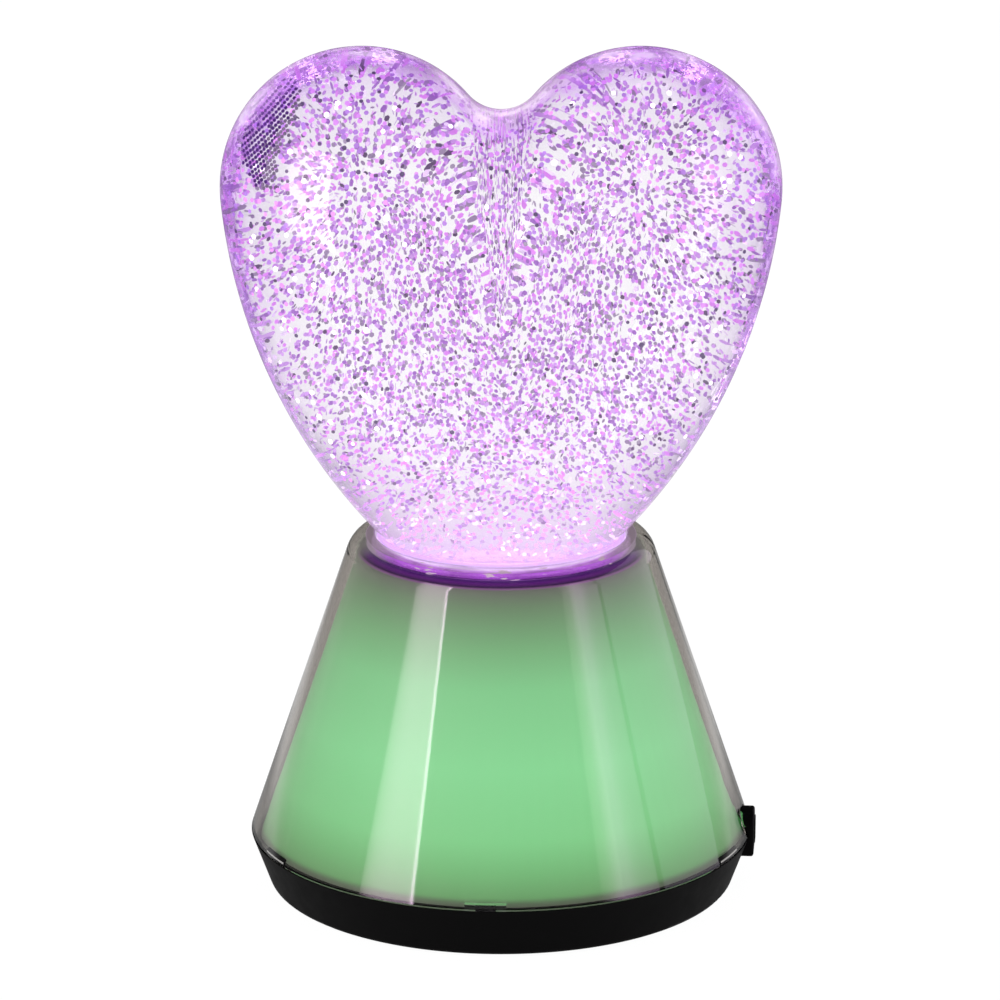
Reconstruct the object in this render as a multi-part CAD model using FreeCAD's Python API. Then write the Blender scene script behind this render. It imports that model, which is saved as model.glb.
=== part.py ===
"""Heart-shaped glitter lamp: a liquid-filled clear heart on a battery-powered, lit cone.

Millimetres, +Z up, front towards -Y. The origin is on the surface that the lamp stands on,
under the middle of the base. Each function makes one piece or one family of like pieces.
"""
import FreeCAD, Part
import math
import os

V = FreeCAD.Vector
UP = V(0, 0, 1)

# Base pan and feet
foot_height = 0.5            # how far the feet stand out of the pan's underside
foot_radius = 5.5
foot_recess = 1.2
foot_inset = 10.0            # from the edge of the pan's underside to a foot's middle
foot_clearance = 0.1
foot_chamfer = 0.3
foot_angles = (50.0, 130.0, 230.0, 310.0)
pan_height = 14.25           # from the pan's underside to its rim
pan_rim_radius = 69.0
pan_taper = 0.366            # inward run of the side for each millimetre down
pan_edge_radius = 2.1
pan_wall = 2.0
pan_floor = 2.6
upstand_height = 1.8         # ring above the rim that centres both cones
upstand_wall = 2.2
upstand_gap = 0.2            # between the upstand and the inside of the inner cone's foot

# Smoked outer cone
shell_height = 84.5          # from the pan's rim to the top of the lip
shell_top_radius = 40.3      # where the sloping side would reach the top, without the shoulder
shell_wall = 2.2
shoulder_radius = 7.6
lip_edge_radius = 0.6
lip_drop = 3.6               # height of the turned-down lip
lip_wall = 2.0
shell_foot_chamfer = 0.5     # makes the fine light line round the lamp

# Snap tabs between pan and outer cone
snap_angles = (-154.0, -93.5, -25.0, 50.0, 128.0)
snap_width = 5.3
snap_window_width = 11.0
snap_height = 1.2
snap_reach = 0.9             # how far a tab reaches into the outer cone's wall
snap_clearance = 0.3

# Frosted inner cone
cone_gap = 1.0               # between the outer cone's inside and the inner cone
diffuser_wall = 1.5
diffuser_shoulder = 4.0
lip_clearance = 0.4          # between the lip's lower edge and the inner cone's top
boss_radius = 3.6
boss_inset = 7.2             # from the inside of the pan's upstand to a boss's middle
boss_height = 9.0
boss_web = 2.0
boss_angles = (30.0, 150.0, 270.0)

# Heart: its outline is a chain of tangent arcs, its thickness follows from the outline
heart_wall = 2.2
heart_half_depth = 44.0
heart_fullness = 0.85        # 0.707 gives elliptical sections, more gives fuller ones
heart_foot_overhang = 3.66    # how far the outline stands past the neck where it meets the flange
heart_centre_drop = 31.9     # from the lobes' centres down to the thickest point
lobe_offset = 37.47
lobe_radius = 37.45
notch_radius = 11.8
side_radius = 152.9
side_start = 5.2             # degrees below the lobe's widest point
tip_radius = 30.0            # ends below the flange, where the heart meets its round neck
span_limit = 80.0            # largest turn of one surface patch, in degrees

# Globe's neck, flange, seat, plug and seal
neck_wall = 2.5
neck_length = 13.7           # below the flange
flange_width = 4.9
flange_thickness = 2.6
flange_clearance = 0.4
seat_thickness = 1.0
seat_bore_clearance = 0.4
plug_flange = 2.0
plug_spigot = 4.5
plug_floor = 3.0
plug_clearance = 0.2
plug_rim = 3.5
seal_section = 1.9
seal_depth = 1.6
seal_drop = 1.2
fill_gap = 0.05

# Stirrer, its pin and cap
pin_radius = 1.5
pin_seat = 2.0               # length of the pin that is held in the plug
pin_boss_radius = 3.0
pin_boss_height = 1.0
pin_cap_radius = 2.6
pin_cap_height = 1.4
pin_in_cap = 1.0
running_clearance = 0.05
thrust_gap = 0.3
stirrer_radius = 15.0
stirrer_plate = 3.0
stirrer_hub_radius = 4.0
blade_count = 4
blade_height = 3.6
blade_thickness = 1.2
blade_inset = 1.0
blade_slope = 3.0
stirrer_room = 1.5           # free liquid round the stirrer

# Rotor under the plug
rotor_gap = 2.0
rotor_radius = 17.0
rotor_height = 6.0
rotor_plate = 3.4
rotor_hub_radius = 4.0
shaft_radius = 1.0
shaft_in_motor = 7.5
magnet_radius = 4.0
magnet_height = 2.6
magnet_circle = 10.0
magnet_angles = (0.0, 180.0)

# Light deck, motor and lamp board
deck_drop = 25.2             # from the inner cone's top to the deck's top
deck_thickness = 2.0
deck_margin = 4.7            # from a post's middle to the deck's edge
post_radius = 2.8
post_gap = 2.1               # between the inner cone's top opening and a post
post_angles = (90.0, 210.0, 330.0)
motor_radius = 12.2
motor_height = 12.3
motor_edge_radius = 1.0
motor_boss_radius = 3.0
motor_boss_height = 1.2
motor_boss_clearance = 0.2
motor_screw_circle = 8.5
board_thickness = 1.6
lamp_board_post_gap = 0.7
lamp_board_rotor_gap = 3.5
cone_board_radius = 36.0
cone_led_inset = 5.0
led_count = 6
led_size = 5.0
led_height = 1.6

# Screws
screw_radius = 1.45
screw_head_radius = 2.7
screw_head_height = 1.8
screw_clearance = 0.2
pilot_clearance = 0.05
base_screw_sink = 5.0
base_screw_length = 16.0
deck_screw_length = 9.0
motor_screw_radius = 0.8
motor_screw_head_radius = 1.6
motor_screw_head_height = 0.9
motor_screw_length = 4.0
slot_share = 0.3             # width and depth of a screw's slot, as a share of its head

# Cells, contacts, battery box and door
cell_radius = 7.25
cell_length = 49.3
cell_nub_radius = 2.75
cell_nub_height = 1.2
cell_count = 3
cell_gap = 0.6
cell_side_gap = 0.5
cell_floor_gap = 0.3
contact_space = 3.2          # from a cell's end to the box's end wall
contact_plate = 0.5
contact_pad_radius = 3.2
contact_side_gap = 1.0
contact_lift = 4.5
box_wall = 1.6
box_head_room = 0.8
board_post_height = 3.0
board_post_radius = 2.2
board_post_circle = 19.0
board_post_angles = (90.0, 210.0, 330.0)
door_thickness = 1.4
door_gap = 0.3
door_seat_gap = 0.2
door_ledge = 2.2
door_corner = 2.0
door_rib_height = 1.0
door_rib_width = 1.4
door_rib_inset = 4.0
hook_width = 8.0
hook_spacing = 26.0
hook_reach = 2.0
hook_thickness = 1.3
hook_neck = 1.4
hook_gap = 0.3
hook_window = 2.8            # height of the windows in the box's end wall
tongue_width = 12.0
tongue_length = 9.0
tongue_slot = 1.0
finger_notch_radius = 8.0
finger_notch_depth = 1.2

# Switch: a rounded block in the pan's side with a push button in its outer face
switch_angle = -4.8
switch_height = 12.6
switch_width = 10.0
switch_proud = 1.1           # how far its outer face stands past the pan's rim
switch_rise = 6.7            # how far it reaches above the pan's rim
switch_top_radius = 4.6      # nearly a full round at the top
switch_corner = 0.8
switch_edge_radius = 0.7
switch_embed = 1.0           # how deep the block sits in the pan's side
switch_body_depth = 9.5      # from the pan's rim to the back of the switch's body
switch_body_wall = 1.1
switch_clearance = 0.3
button_height = 7.2
button_width = 5.4
button_corner = 1.2
button_proud = 0.3           # at rest, pressed in
button_depth = 3.6
button_clearance = 0.3

# Heights and radii that follow from the sizes above
pan_bottom = foot_height
pan_rim = pan_bottom + pan_height
pan_floor_top = pan_bottom + pan_floor
upstand_top = pan_rim + upstand_height
shell_top = pan_rim + shell_height
shell_taper = (pan_rim_radius - shell_top_radius) / shell_height


def cone_radius(z, inset=0.0):
    """Radius at height z of the outer cone's face, moved inwards by inset."""
    return pan_rim_radius - shell_taper * (z - pan_rim) - inset * math.hypot(1, shell_taper)


def pan_radius(z, inset=0.0):
    """Radius at height z of the pan's sloping side, moved inwards by inset."""
    return pan_rim_radius - pan_taper * (pan_rim - z) - inset * math.hypot(1, pan_taper)


shell_lean = math.degrees(math.atan(shell_taper))
pan_lean = math.degrees(math.atan(pan_taper))
shoulder_z = shell_top - shoulder_radius
shoulder_r = cone_radius(shoulder_z, shoulder_radius)
lip_inner = shoulder_r - lip_edge_radius
lip_outer = lip_inner + lip_wall
lip_bottom = shell_top - lip_drop
diffuser_inset = shell_wall + cone_gap
diffuser_top = lip_bottom - lip_clearance
foot_outer_radius = cone_radius(pan_rim, diffuser_inset)
upstand_outer = cone_radius(upstand_top, diffuser_inset + diffuser_wall) - upstand_gap
upstand_inner = upstand_outer - upstand_wall
boss_circle = upstand_inner - boss_inset
foot_circle = pan_radius(pan_bottom) - foot_inset
flange_radius = lip_inner - flange_clearance
flange_bottom = diffuser_top + seat_thickness
flange_top = flange_bottom + flange_thickness
neck_radius = flange_radius - flange_width
neck_bottom = flange_bottom - neck_length
neck_bore = neck_radius - neck_wall
bore_top = flange_bottom + flange_thickness / 2
seat_bore = neck_radius + seat_bore_clearance
plug_bottom = neck_bottom - plug_flange
plug_top = neck_bottom + plug_spigot
plug_floor_top = plug_bottom + plug_floor
spigot_radius = neck_bore - plug_clearance
spigot_bore = spigot_radius - plug_rim
seal_top = plug_top - seal_drop
stirrer_bottom = plug_floor_top + pin_boss_height + thrust_gap
blade_bottom = stirrer_bottom + stirrer_plate
stirrer_top = blade_bottom + blade_height
cap_bottom = stirrer_top + thrust_gap
cap_top = cap_bottom + pin_cap_height
pin_bottom = plug_floor_top - pin_seat
pin_top = cap_bottom + pin_in_cap
rotor_top = plug_bottom - rotor_gap
rotor_bottom = rotor_top - rotor_height
deck_top = diffuser_top - deck_drop
deck_bottom = deck_top - deck_thickness
post_circle = seat_bore + post_gap + post_radius
deck_radius = post_circle + deck_margin
lamp_board_outer = post_circle - post_radius - lamp_board_post_gap
lamp_board_inner = rotor_radius + lamp_board_rotor_gap
lamp_led_circle = (lamp_board_outer + lamp_board_inner) / 2
cone_led_circle = cone_board_radius - cone_led_inset
motor_bottom = deck_bottom - motor_height
cell_pitch = 2 * cell_radius + cell_gap
cell_z = pan_floor_top + cell_floor_gap + cell_radius
box_half_x = cell_length / 2 + contact_space
box_half_y = (cell_count - 1) / 2 * cell_pitch + cell_radius + cell_side_gap
box_ceiling = cell_z + cell_radius + box_head_room
box_top = box_ceiling + box_wall
cone_board_bottom = box_top + board_post_height
door_half_x = box_half_x + door_ledge
door_half_y = box_half_y + door_ledge
door_top = pan_bottom + door_thickness
switch_high = pan_rim + switch_rise
switch_low = switch_high - switch_height
switch_centre_height = (switch_high + switch_low) / 2
switch_face = pan_rim_radius + switch_proud
switch_body_back = pan_rim_radius - switch_body_depth
button_face = switch_face + button_proud


def disc(radius, z_low, z_high, x=0.0, y=0.0):
    """Upright cylinder between two heights."""
    return Part.makeCylinder(radius, z_high - z_low, V(x, y, z_low), UP)


def ring(outer, inner, z_low, z_high):
    """Upright tube between two heights."""
    return disc(outer, z_low, z_high).cut(disc(inner, z_low, z_high))


def block(x_range, y_range, z_range):
    """Box between two limits along each axis."""
    size = [high - low for low, high in (x_range, y_range, z_range)]
    return Part.makeBox(*size, V(x_range[0], y_range[0], z_range[0]))


def turned(shape, angle):
    """Copy of the shape, turned about the lamp's axis by an angle in degrees."""
    copy = shape.copy()
    copy.rotate(V(0, 0, 0), UP, angle)
    return copy


def on_circle(radius, angle):
    """Point on a circle about the lamp's axis."""
    turn = math.radians(angle)
    return radius * math.cos(turn), radius * math.sin(turn)


def path(points):
    """Straight edges in the XZ plane through a list of (radius, height) points."""
    return [Part.makeLine(V(a[0], 0, a[1]), V(b[0], 0, b[1])) for a, b in zip(points, points[1:])]


def arc(centre, radius, start, end):
    """Arc in the XZ plane between two angles, in degrees from +X towards +Z, and its ends."""
    def at(angle):
        x, z = on_circle(radius, angle)
        return centre[0] + x, centre[1] + z
    points = [V(x, 0, z) for x, z in (at(start), at((start + end) / 2), at(end))]
    return Part.Arc(*points).toShape(), at(start), at(end)


def revolve(edges):
    """Solid made by turning a closed profile about the lamp's axis."""
    return Part.Face(Part.Wire(edges)).revolve(V(0, 0, 0), UP, 360)


def edges_along_x(shape):
    """Straight edges of a block that run along X."""
    return [e for e in shape.Edges if abs(e.tangentAt(e.FirstParameter).x) > 0.99]


def direction(start, end):
    """Angle in degrees of the line from one (x, z) point to another."""
    return math.degrees(math.atan2(end[1] - start[1], end[0] - start[0]))


# The side's circle is set so that the outline stands over the flange as far as its overhang says
side_reach = on_circle(side_radius - lobe_radius, side_start)
side_centre_x = lobe_offset - side_reach[0]
foot_run = neck_radius + heart_foot_overhang - side_centre_x
side_centre_z = flange_top + math.sqrt(side_radius ** 2 - foot_run ** 2)
lobe_height = side_centre_z - side_reach[1]
heart_centre_height = lobe_height - heart_centre_drop


def heart_arcs(inset):
    """Arcs of the heart's outline, moved inwards: centre, radius, first and last angle.

    They run clockwise from the notch: notch, right lobe, right side, tip, left side, left
    lobe. Each is tangent to the next, so an inset only changes the radii.
    """
    lobe = (lobe_offset, lobe_height)
    side = (side_centre_x, side_centre_z)
    notch_rise = math.sqrt((lobe_radius + notch_radius) ** 2 - lobe_offset ** 2)
    notch = (0.0, lobe_height + notch_rise)
    tip_drop = math.sqrt((side_radius - tip_radius) ** 2 - side_centre_x ** 2)
    tip = (0.0, side_centre_z - tip_drop)
    notch_end = direction(notch, lobe)
    side_end = direction(side, tip)
    notch_arc = (notch, notch_radius + inset, -180 - notch_end, notch_end)
    lobe_arc = (lobe, lobe_radius - inset, direction(lobe, notch), -side_start)
    side_arc = (side, side_radius - inset, -side_start, side_end)
    tip_arc = (tip, tip_radius - inset, side_end, -180 - side_end)

    def mirrored(centre, radius, start, end):
        return (-centre[0], centre[1]), radius, 180 - end, 180 - start
    return [notch_arc, lobe_arc, side_arc, tip_arc, mirrored(*side_arc), mirrored(*lobe_arc)]


def split_arc(centre, radius, start, end):
    """The arc in equal spans of at most span_limit degrees."""
    count = math.ceil(abs(end - start) / span_limit)
    step = (end - start) / count
    return [(centre, radius, start + i * step, start + (i + 1) * step) for i in range(count)]


def heart_patch(centre, radius, start, end, side, depth):
    """Curved patch from one outline arc to the middle of the front (side -1) or back (+1).

    Along the outline it is the arc itself, and across it a quarter of a full conic.
    """
    shrink = math.cos(math.radians(end - start) / 2)
    across = ((0, side, 1.0), (1, side, heart_fullness), (1, 0, 1.0))
    along = ((start, radius, 1.0), ((start + end) / 2, radius / shrink, shrink),
             (end, radius, 1.0))
    surface = Part.BezierSurface()
    surface.increase(2, 2)
    for i, (angle, reach, arc_weight) in enumerate(along, 1):
        x, z = on_circle(reach, angle)
        x, z = centre[0] + x, centre[1] + z - heart_centre_height
        for j, (share, level, weight) in enumerate(across, 1):
            pole = V(share * x, level * depth, heart_centre_height + share * z)
            surface.setPole(i, j, pole, arc_weight * weight)
    return Part.Face(surface)


def heart_solid(inset):
    """Puffed heart, with its whole surface moved inwards by inset."""
    depth = heart_half_depth - inset
    faces = [heart_patch(*span, side, depth)
             for each in heart_arcs(inset) for span in split_arc(*each) for side in (-1, 1)]
    shell = Part.makeShell(faces)
    shell.sewShape()
    solid = Part.Solid(shell)
    if solid.Volume < 0:
        solid.reverse()
    return solid


def above(shape, z):
    """The part of a shape that lies above height z."""
    box = shape.BoundBox
    x_range = (box.XMin - 1, box.XMax + 1)
    y_range = (box.YMin - 1, box.YMax + 1)
    return shape.cut(block(x_range, y_range, (box.ZMin - 1, z)))


def make_heart_globe():
    """Clear hollow heart with its round neck and the flange it stands on."""
    globe = above(heart_solid(0), flange_bottom)
    globe = globe.fuse(disc(neck_radius, neck_bottom, flange_top))
    globe = globe.fuse(disc(flange_radius, flange_bottom, flange_top))
    globe = globe.cut(above(heart_solid(heart_wall), bore_top))
    return globe.cut(disc(neck_bore, neck_bottom, bore_top))


def make_liquid_fill():
    """Liquid that fills the globe, with free room round the stirrer."""
    low = plug_floor_top + fill_gap
    high = bore_top - fill_gap
    fill = above(heart_solid(heart_wall + fill_gap), high)
    fill = fill.cut(ring(flange_radius, neck_bore - fill_gap, high, bore_top + fill_gap))
    fill = fill.fuse(disc(neck_bore - fill_gap, plug_top + fill_gap, high))
    fill = fill.fuse(disc(spigot_bore - fill_gap, low, high))
    room = disc(stirrer_radius + stirrer_room, plug_floor_top, cap_top + stirrer_room)
    return fill.cut(room)


def make_globe_plug():
    """Plug that closes the neck from below, with its seal groove and the pin's boss."""
    plug = disc(neck_radius, plug_bottom, neck_bottom)
    plug = plug.fuse(disc(spigot_radius, neck_bottom, plug_top))
    plug = plug.cut(disc(spigot_bore, plug_floor_top, plug_top))
    plug = plug.fuse(disc(pin_boss_radius, plug_floor_top, plug_floor_top + pin_boss_height))
    plug = plug.cut(ring(neck_radius, spigot_radius - seal_depth, seal_top - seal_section, seal_top))
    return plug.cut(disc(pin_radius, pin_bottom, stirrer_bottom)).removeSplitter()


def make_globe_seal():
    """Sealing ring between the plug's groove and the neck's bore."""
    return ring(neck_bore, spigot_radius - seal_depth, seal_top - seal_section, seal_top)


def make_globe_seat():
    """Translucent ring between the inner cone's top and the globe's flange."""
    return ring(flange_radius, seat_bore, diffuser_top, flange_bottom)


def make_stirrer_pin():
    """Steel pin that the stirrer turns on."""
    return disc(pin_radius, pin_bottom, pin_top)


def make_pin_cap():
    """Cap on the pin, which keeps the stirrer from floating off."""
    cap = disc(pin_cap_radius, cap_bottom, cap_top)
    return cap.cut(disc(pin_radius, cap_bottom, pin_top))


def magnets(z_low):
    """The pair of round magnets that stand on one level."""
    places = [on_circle(magnet_circle, angle) for angle in magnet_angles]
    return [disc(magnet_radius, z_low, z_low + magnet_height, x, y) for x, y in places]


def make_stirrer():
    """Impeller with sloped blades and two magnet pockets in its underside."""
    body = disc(stirrer_radius, stirrer_bottom, blade_bottom)
    body = body.fuse(disc(stirrer_hub_radius, stirrer_bottom, stirrer_top))
    inner = stirrer_hub_radius / 2
    outer = stirrer_radius - blade_inset
    outline = [(inner, blade_bottom), (outer, blade_bottom),
               (outer - blade_slope, stirrer_top), (inner, stirrer_top), (inner, blade_bottom)]
    blade = Part.Face(Part.Wire(path(outline))).extrude(V(0, blade_thickness, 0))
    blade.translate(V(0, -blade_thickness / 2, 0))
    for index in range(blade_count):
        body = body.fuse(turned(blade, index * 360 / blade_count))
    for magnet in magnets(stirrer_bottom):
        body = body.cut(magnet)
    return body.cut(disc(pin_radius + running_clearance, stirrer_bottom, stirrer_top)).removeSplitter()


def make_magnet_holder():
    """Disc on the motor's shaft that carries two magnets close under the plug."""
    holder = disc(rotor_radius, rotor_top - rotor_plate, rotor_top)
    holder = holder.fuse(disc(rotor_hub_radius, rotor_bottom, rotor_top))
    for magnet in magnets(rotor_top - magnet_height):
        holder = holder.cut(magnet)
    return holder.cut(disc(shaft_radius, rotor_bottom, rotor_top)).removeSplitter()


def make_rotor_shaft():
    """Motor shaft."""
    return disc(shaft_radius, deck_bottom - shaft_in_motor, rotor_top)


def motor_screw_places():
    """The two screws stand on either side of the shaft."""
    return [on_circle(motor_screw_circle, angle) for angle in (90.0, 270.0)]


def make_motor():
    """Flat can motor with a bearing boss at each end."""
    can = disc(motor_radius, motor_bottom, deck_bottom)
    round_edges = [e for e in can.Edges if len(e.Vertexes) == 1]
    can = can.makeFillet(motor_edge_radius, round_edges)
    can = can.fuse(disc(motor_boss_radius, motor_bottom - motor_boss_height,
                        deck_bottom + motor_boss_height))
    shaft_bottom = deck_bottom - shaft_in_motor - thrust_gap
    can = can.cut(disc(shaft_radius + running_clearance, shaft_bottom,
                       deck_bottom + motor_boss_height))
    for x, y in motor_screw_places():
        can = can.cut(disc(motor_screw_radius + pilot_clearance,
                           deck_top - motor_screw_length - thrust_gap, deck_bottom, x, y))
    return can.removeSplitter()


def make_light_deck():
    """Round white deck that carries the motor below and the lamp board above."""
    deck = disc(deck_radius, deck_bottom, deck_top)
    deck = deck.cut(disc(motor_boss_radius + motor_boss_clearance, deck_bottom, deck_top))
    for x, y in motor_screw_places():
        deck = deck.cut(disc(motor_screw_radius + screw_clearance, deck_bottom, deck_top, x, y))
    for angle in post_angles:
        x, y = on_circle(post_circle, angle)
        deck = deck.cut(disc(screw_radius + screw_clearance, deck_bottom, deck_top, x, y))
    return deck


def make_lamp_board():
    """Ring-shaped board round the rotor."""
    return ring(lamp_board_outer, lamp_board_inner, deck_top, deck_top + board_thickness)


def make_control_board():
    """Round board over the battery box, with the lights for the cone."""
    return disc(cone_board_radius, cone_board_bottom, cone_board_bottom + board_thickness)


def make_leds(circle, z_low):
    """Square surface-mounted lights on a circle, each with its emitting well."""
    half = led_size / 2
    led = block((circle - half, circle + half), (-half, half), (z_low, z_low + led_height))
    well_bottom = z_low + led_height * 0.8
    led = led.cut(disc(half * 0.75, well_bottom, z_low + led_height, circle, 0))
    return [turned(led, index * 360 / led_count) for index in range(led_count)]


def make_screw(x, y, seat, length, shank, head, head_height, up):
    """Slotted pan-head screw; seat is the height under its head, up is +1 or -1."""
    axis = UP * up
    shape = Part.makeCylinder(shank, length, V(x, y, seat), axis)
    shape = shape.fuse(Part.makeCylinder(head, head_height, V(x, y, seat), axis * -1))
    half = head * slot_share / 2
    end = seat - up * head_height
    floor = end + up * head * slot_share
    slot = block((x - head, x + head), (y - half, y + half), (min(end, floor), max(end, floor)))
    return shape.removeSplitter().cut(slot)


def make_base_screws():
    """Screws that draw the inner cone down on the pan."""
    places = [on_circle(boss_circle, angle) for angle in boss_angles]
    return [make_screw(x, y, pan_bottom + base_screw_sink, base_screw_length, screw_radius,
                       screw_head_radius, screw_head_height, 1) for x, y in places]


def make_deck_screws():
    """Screws that hold the deck to the inner cone's posts."""
    places = [on_circle(post_circle, angle) for angle in post_angles]
    return [make_screw(x, y, deck_bottom, deck_screw_length, screw_radius,
                       screw_head_radius, screw_head_height, 1) for x, y in places]


def make_motor_screws():
    """Screws through the deck into the motor."""
    return [make_screw(x, y, deck_top, motor_screw_length, motor_screw_radius,
                       motor_screw_head_radius, motor_screw_head_height, -1)
            for x, y in motor_screw_places()]


def make_diffuser():
    """Frosted inner cone: shoulder, top flange, deck posts and screw bosses."""
    top_z = diffuser_top - diffuser_shoulder
    top_r = cone_radius(top_z, diffuser_inset + diffuser_shoulder)
    outer, outer_low, outer_high = arc((top_r, top_z), diffuser_shoulder, shell_lean, 90)
    inner, inner_low, inner_high = arc((top_r, top_z), diffuser_shoulder - diffuser_wall,
                                       shell_lean, 90)
    foot_outer = (foot_outer_radius, pan_rim)
    foot_inner = (cone_radius(pan_rim, diffuser_inset + diffuser_wall), pan_rim)
    flange_edge = [outer_high, (seat_bore, outer_high[1]), (seat_bore, inner_high[1]), inner_high]
    skin = revolve(path([inner_low, foot_inner, foot_outer, outer_low]) + [outer]
                   + path(flange_edge) + [inner])
    inside = revolve(path([(0, inner_high[1] + diffuser_wall / 2),
                           (inner_high[0], inner_high[1] + diffuser_wall / 2), outer_low,
                           foot_outer, (0, foot_outer[1]),
                           (0, inner_high[1] + diffuser_wall / 2)]))
    for angle in post_angles:
        x, y = on_circle(post_circle, angle)
        skin = skin.fuse(disc(post_radius, deck_top, diffuser_top - diffuser_wall / 2, x, y))
        skin = skin.cut(disc(screw_radius + pilot_clearance, deck_top,
                             deck_bottom + deck_screw_length + thrust_gap, x, y))
    for angle in boss_angles:
        x, y = on_circle(boss_circle, angle)
        web = block((boss_circle, pan_rim_radius), (-boss_web / 2, boss_web / 2),
                    (upstand_top, upstand_top + boss_height))
        boss = disc(boss_radius, upstand_top, upstand_top + boss_height, x, y)
        skin = skin.fuse(boss.fuse(turned(web, angle)).common(inside))
        skin = skin.cut(disc(screw_radius + pilot_clearance, upstand_top,
                             pan_bottom + base_screw_sink + base_screw_length + thrust_gap, x, y))
    return skin.removeSplitter()


def snap_wedge(grow, width, z_high):
    """Part of a ring from the inner cone's foot into the outer cone's wall, at angle 0."""
    inner = foot_outer_radius + snap_clearance
    outer = cone_radius(pan_rim, shell_wall) + snap_reach + grow
    return ring(outer, inner, pan_rim, z_high).common(
        block((0, outer), (-width / 2, width / 2), (pan_rim, z_high)))


def switch_block(grow):
    """Rounded block of the switch's visible part, at angle 0, grown for a clearance."""
    back = pan_radius(pan_bottom, pan_wall)
    half = switch_width / 2 + grow
    shape = block((back, switch_face), (-half, half), (switch_low - grow, switch_high + grow))
    upper = [e for e in edges_along_x(shape) if e.BoundBox.ZMin > switch_centre_height]
    shape = shape.makeFillet(switch_top_radius + grow, upper)
    lower = [e for e in edges_along_x(shape) if e.BoundBox.ZMax < switch_low]
    return shape.makeFillet(switch_corner + grow, lower) if lower else shape


def switch_solid():
    """Switch block, let into the pan's side, with the switch's body behind it."""
    pad = switch_block(0)
    face_edges = [e for e in pad.Edges if e.BoundBox.XMin > switch_face - 1e-6]
    pad = pad.makeFillet(switch_edge_radius, face_edges)
    pad = turned(pad, switch_angle)
    core_top = switch_high + 1
    core = revolve(path([
        (0, 0),
        (pan_radius(0, switch_embed), 0),
        (pan_radius(pan_rim, switch_embed), pan_rim),
        (foot_outer_radius + switch_clearance, pan_rim),
        (foot_outer_radius + switch_clearance, core_top),
        (0, core_top),
        (0, 0),
    ]))
    pad = pad.cut(core)
    half_y = button_width / 2 + button_clearance + switch_body_wall
    body = block((switch_body_back, pan_rim_radius - switch_embed), (-half_y, half_y),
                 (switch_low + switch_body_wall, pan_rim))
    return pad.fuse(turned(body, switch_angle))


def button_prism(grow, back):
    """Rounded prism of the button, or of its bore with grow as the clearance."""
    half_y = button_width / 2 + grow
    half_z = button_height / 2 + grow
    shape = block((back, button_face), (-half_y, half_y),
                  (switch_centre_height - half_z, switch_centre_height + half_z))
    return shape.makeFillet(button_corner + grow, edges_along_x(shape))


def make_button():
    """Push button, shown pressed in."""
    button = button_prism(0, button_face - button_depth)
    rim = [e for e in button.Edges if e.BoundBox.XMin > button_face - 1e-6]
    return turned(button.makeFillet(button_proud, rim), switch_angle)


def make_switch_housing():
    """The switch's block and body, with the bore that the button slides in."""
    bore = button_prism(button_clearance, button_face - button_depth - button_clearance)
    return switch_solid().cut(turned(bore, switch_angle))


def make_outer_shell():
    """Smoked cone: rounded shoulder, turned-down lip, snap windows, notch for the switch."""
    shoulder, low, high = arc((shoulder_r, shoulder_z), shoulder_radius, shell_lean, 90)
    edge, edge_start, edge_end = arc((shoulder_r, shell_top - lip_edge_radius), lip_edge_radius,
                                     90, 180)
    inner_radius = shoulder_radius - shell_wall
    meet = math.degrees(math.acos((lip_outer - shoulder_r) / inner_radius))
    under, under_low, under_high = arc((shoulder_r, shoulder_z), inner_radius, meet, shell_lean)
    foot_corner = (pan_rim_radius - shell_foot_chamfer, pan_rim)
    foot_side_z = pan_rim + shell_foot_chamfer
    profile = path([foot_corner, (cone_radius(foot_side_z), foot_side_z), low])
    profile += [shoulder, edge] + path([
        edge_end,
        (lip_inner, lip_bottom),
        (lip_outer, lip_bottom),
        under_low,
    ]) + [under] + path([
        under_high,
        (cone_radius(pan_rim, shell_wall), pan_rim),
        foot_corner,
    ])
    shell = revolve(profile)
    window = snap_wedge(snap_clearance, snap_window_width,
                        pan_rim + snap_height + snap_clearance)
    for angle in snap_angles:
        shell = shell.cut(turned(window, angle))
    return shell.cut(turned(switch_block(switch_clearance), switch_angle))


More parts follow.
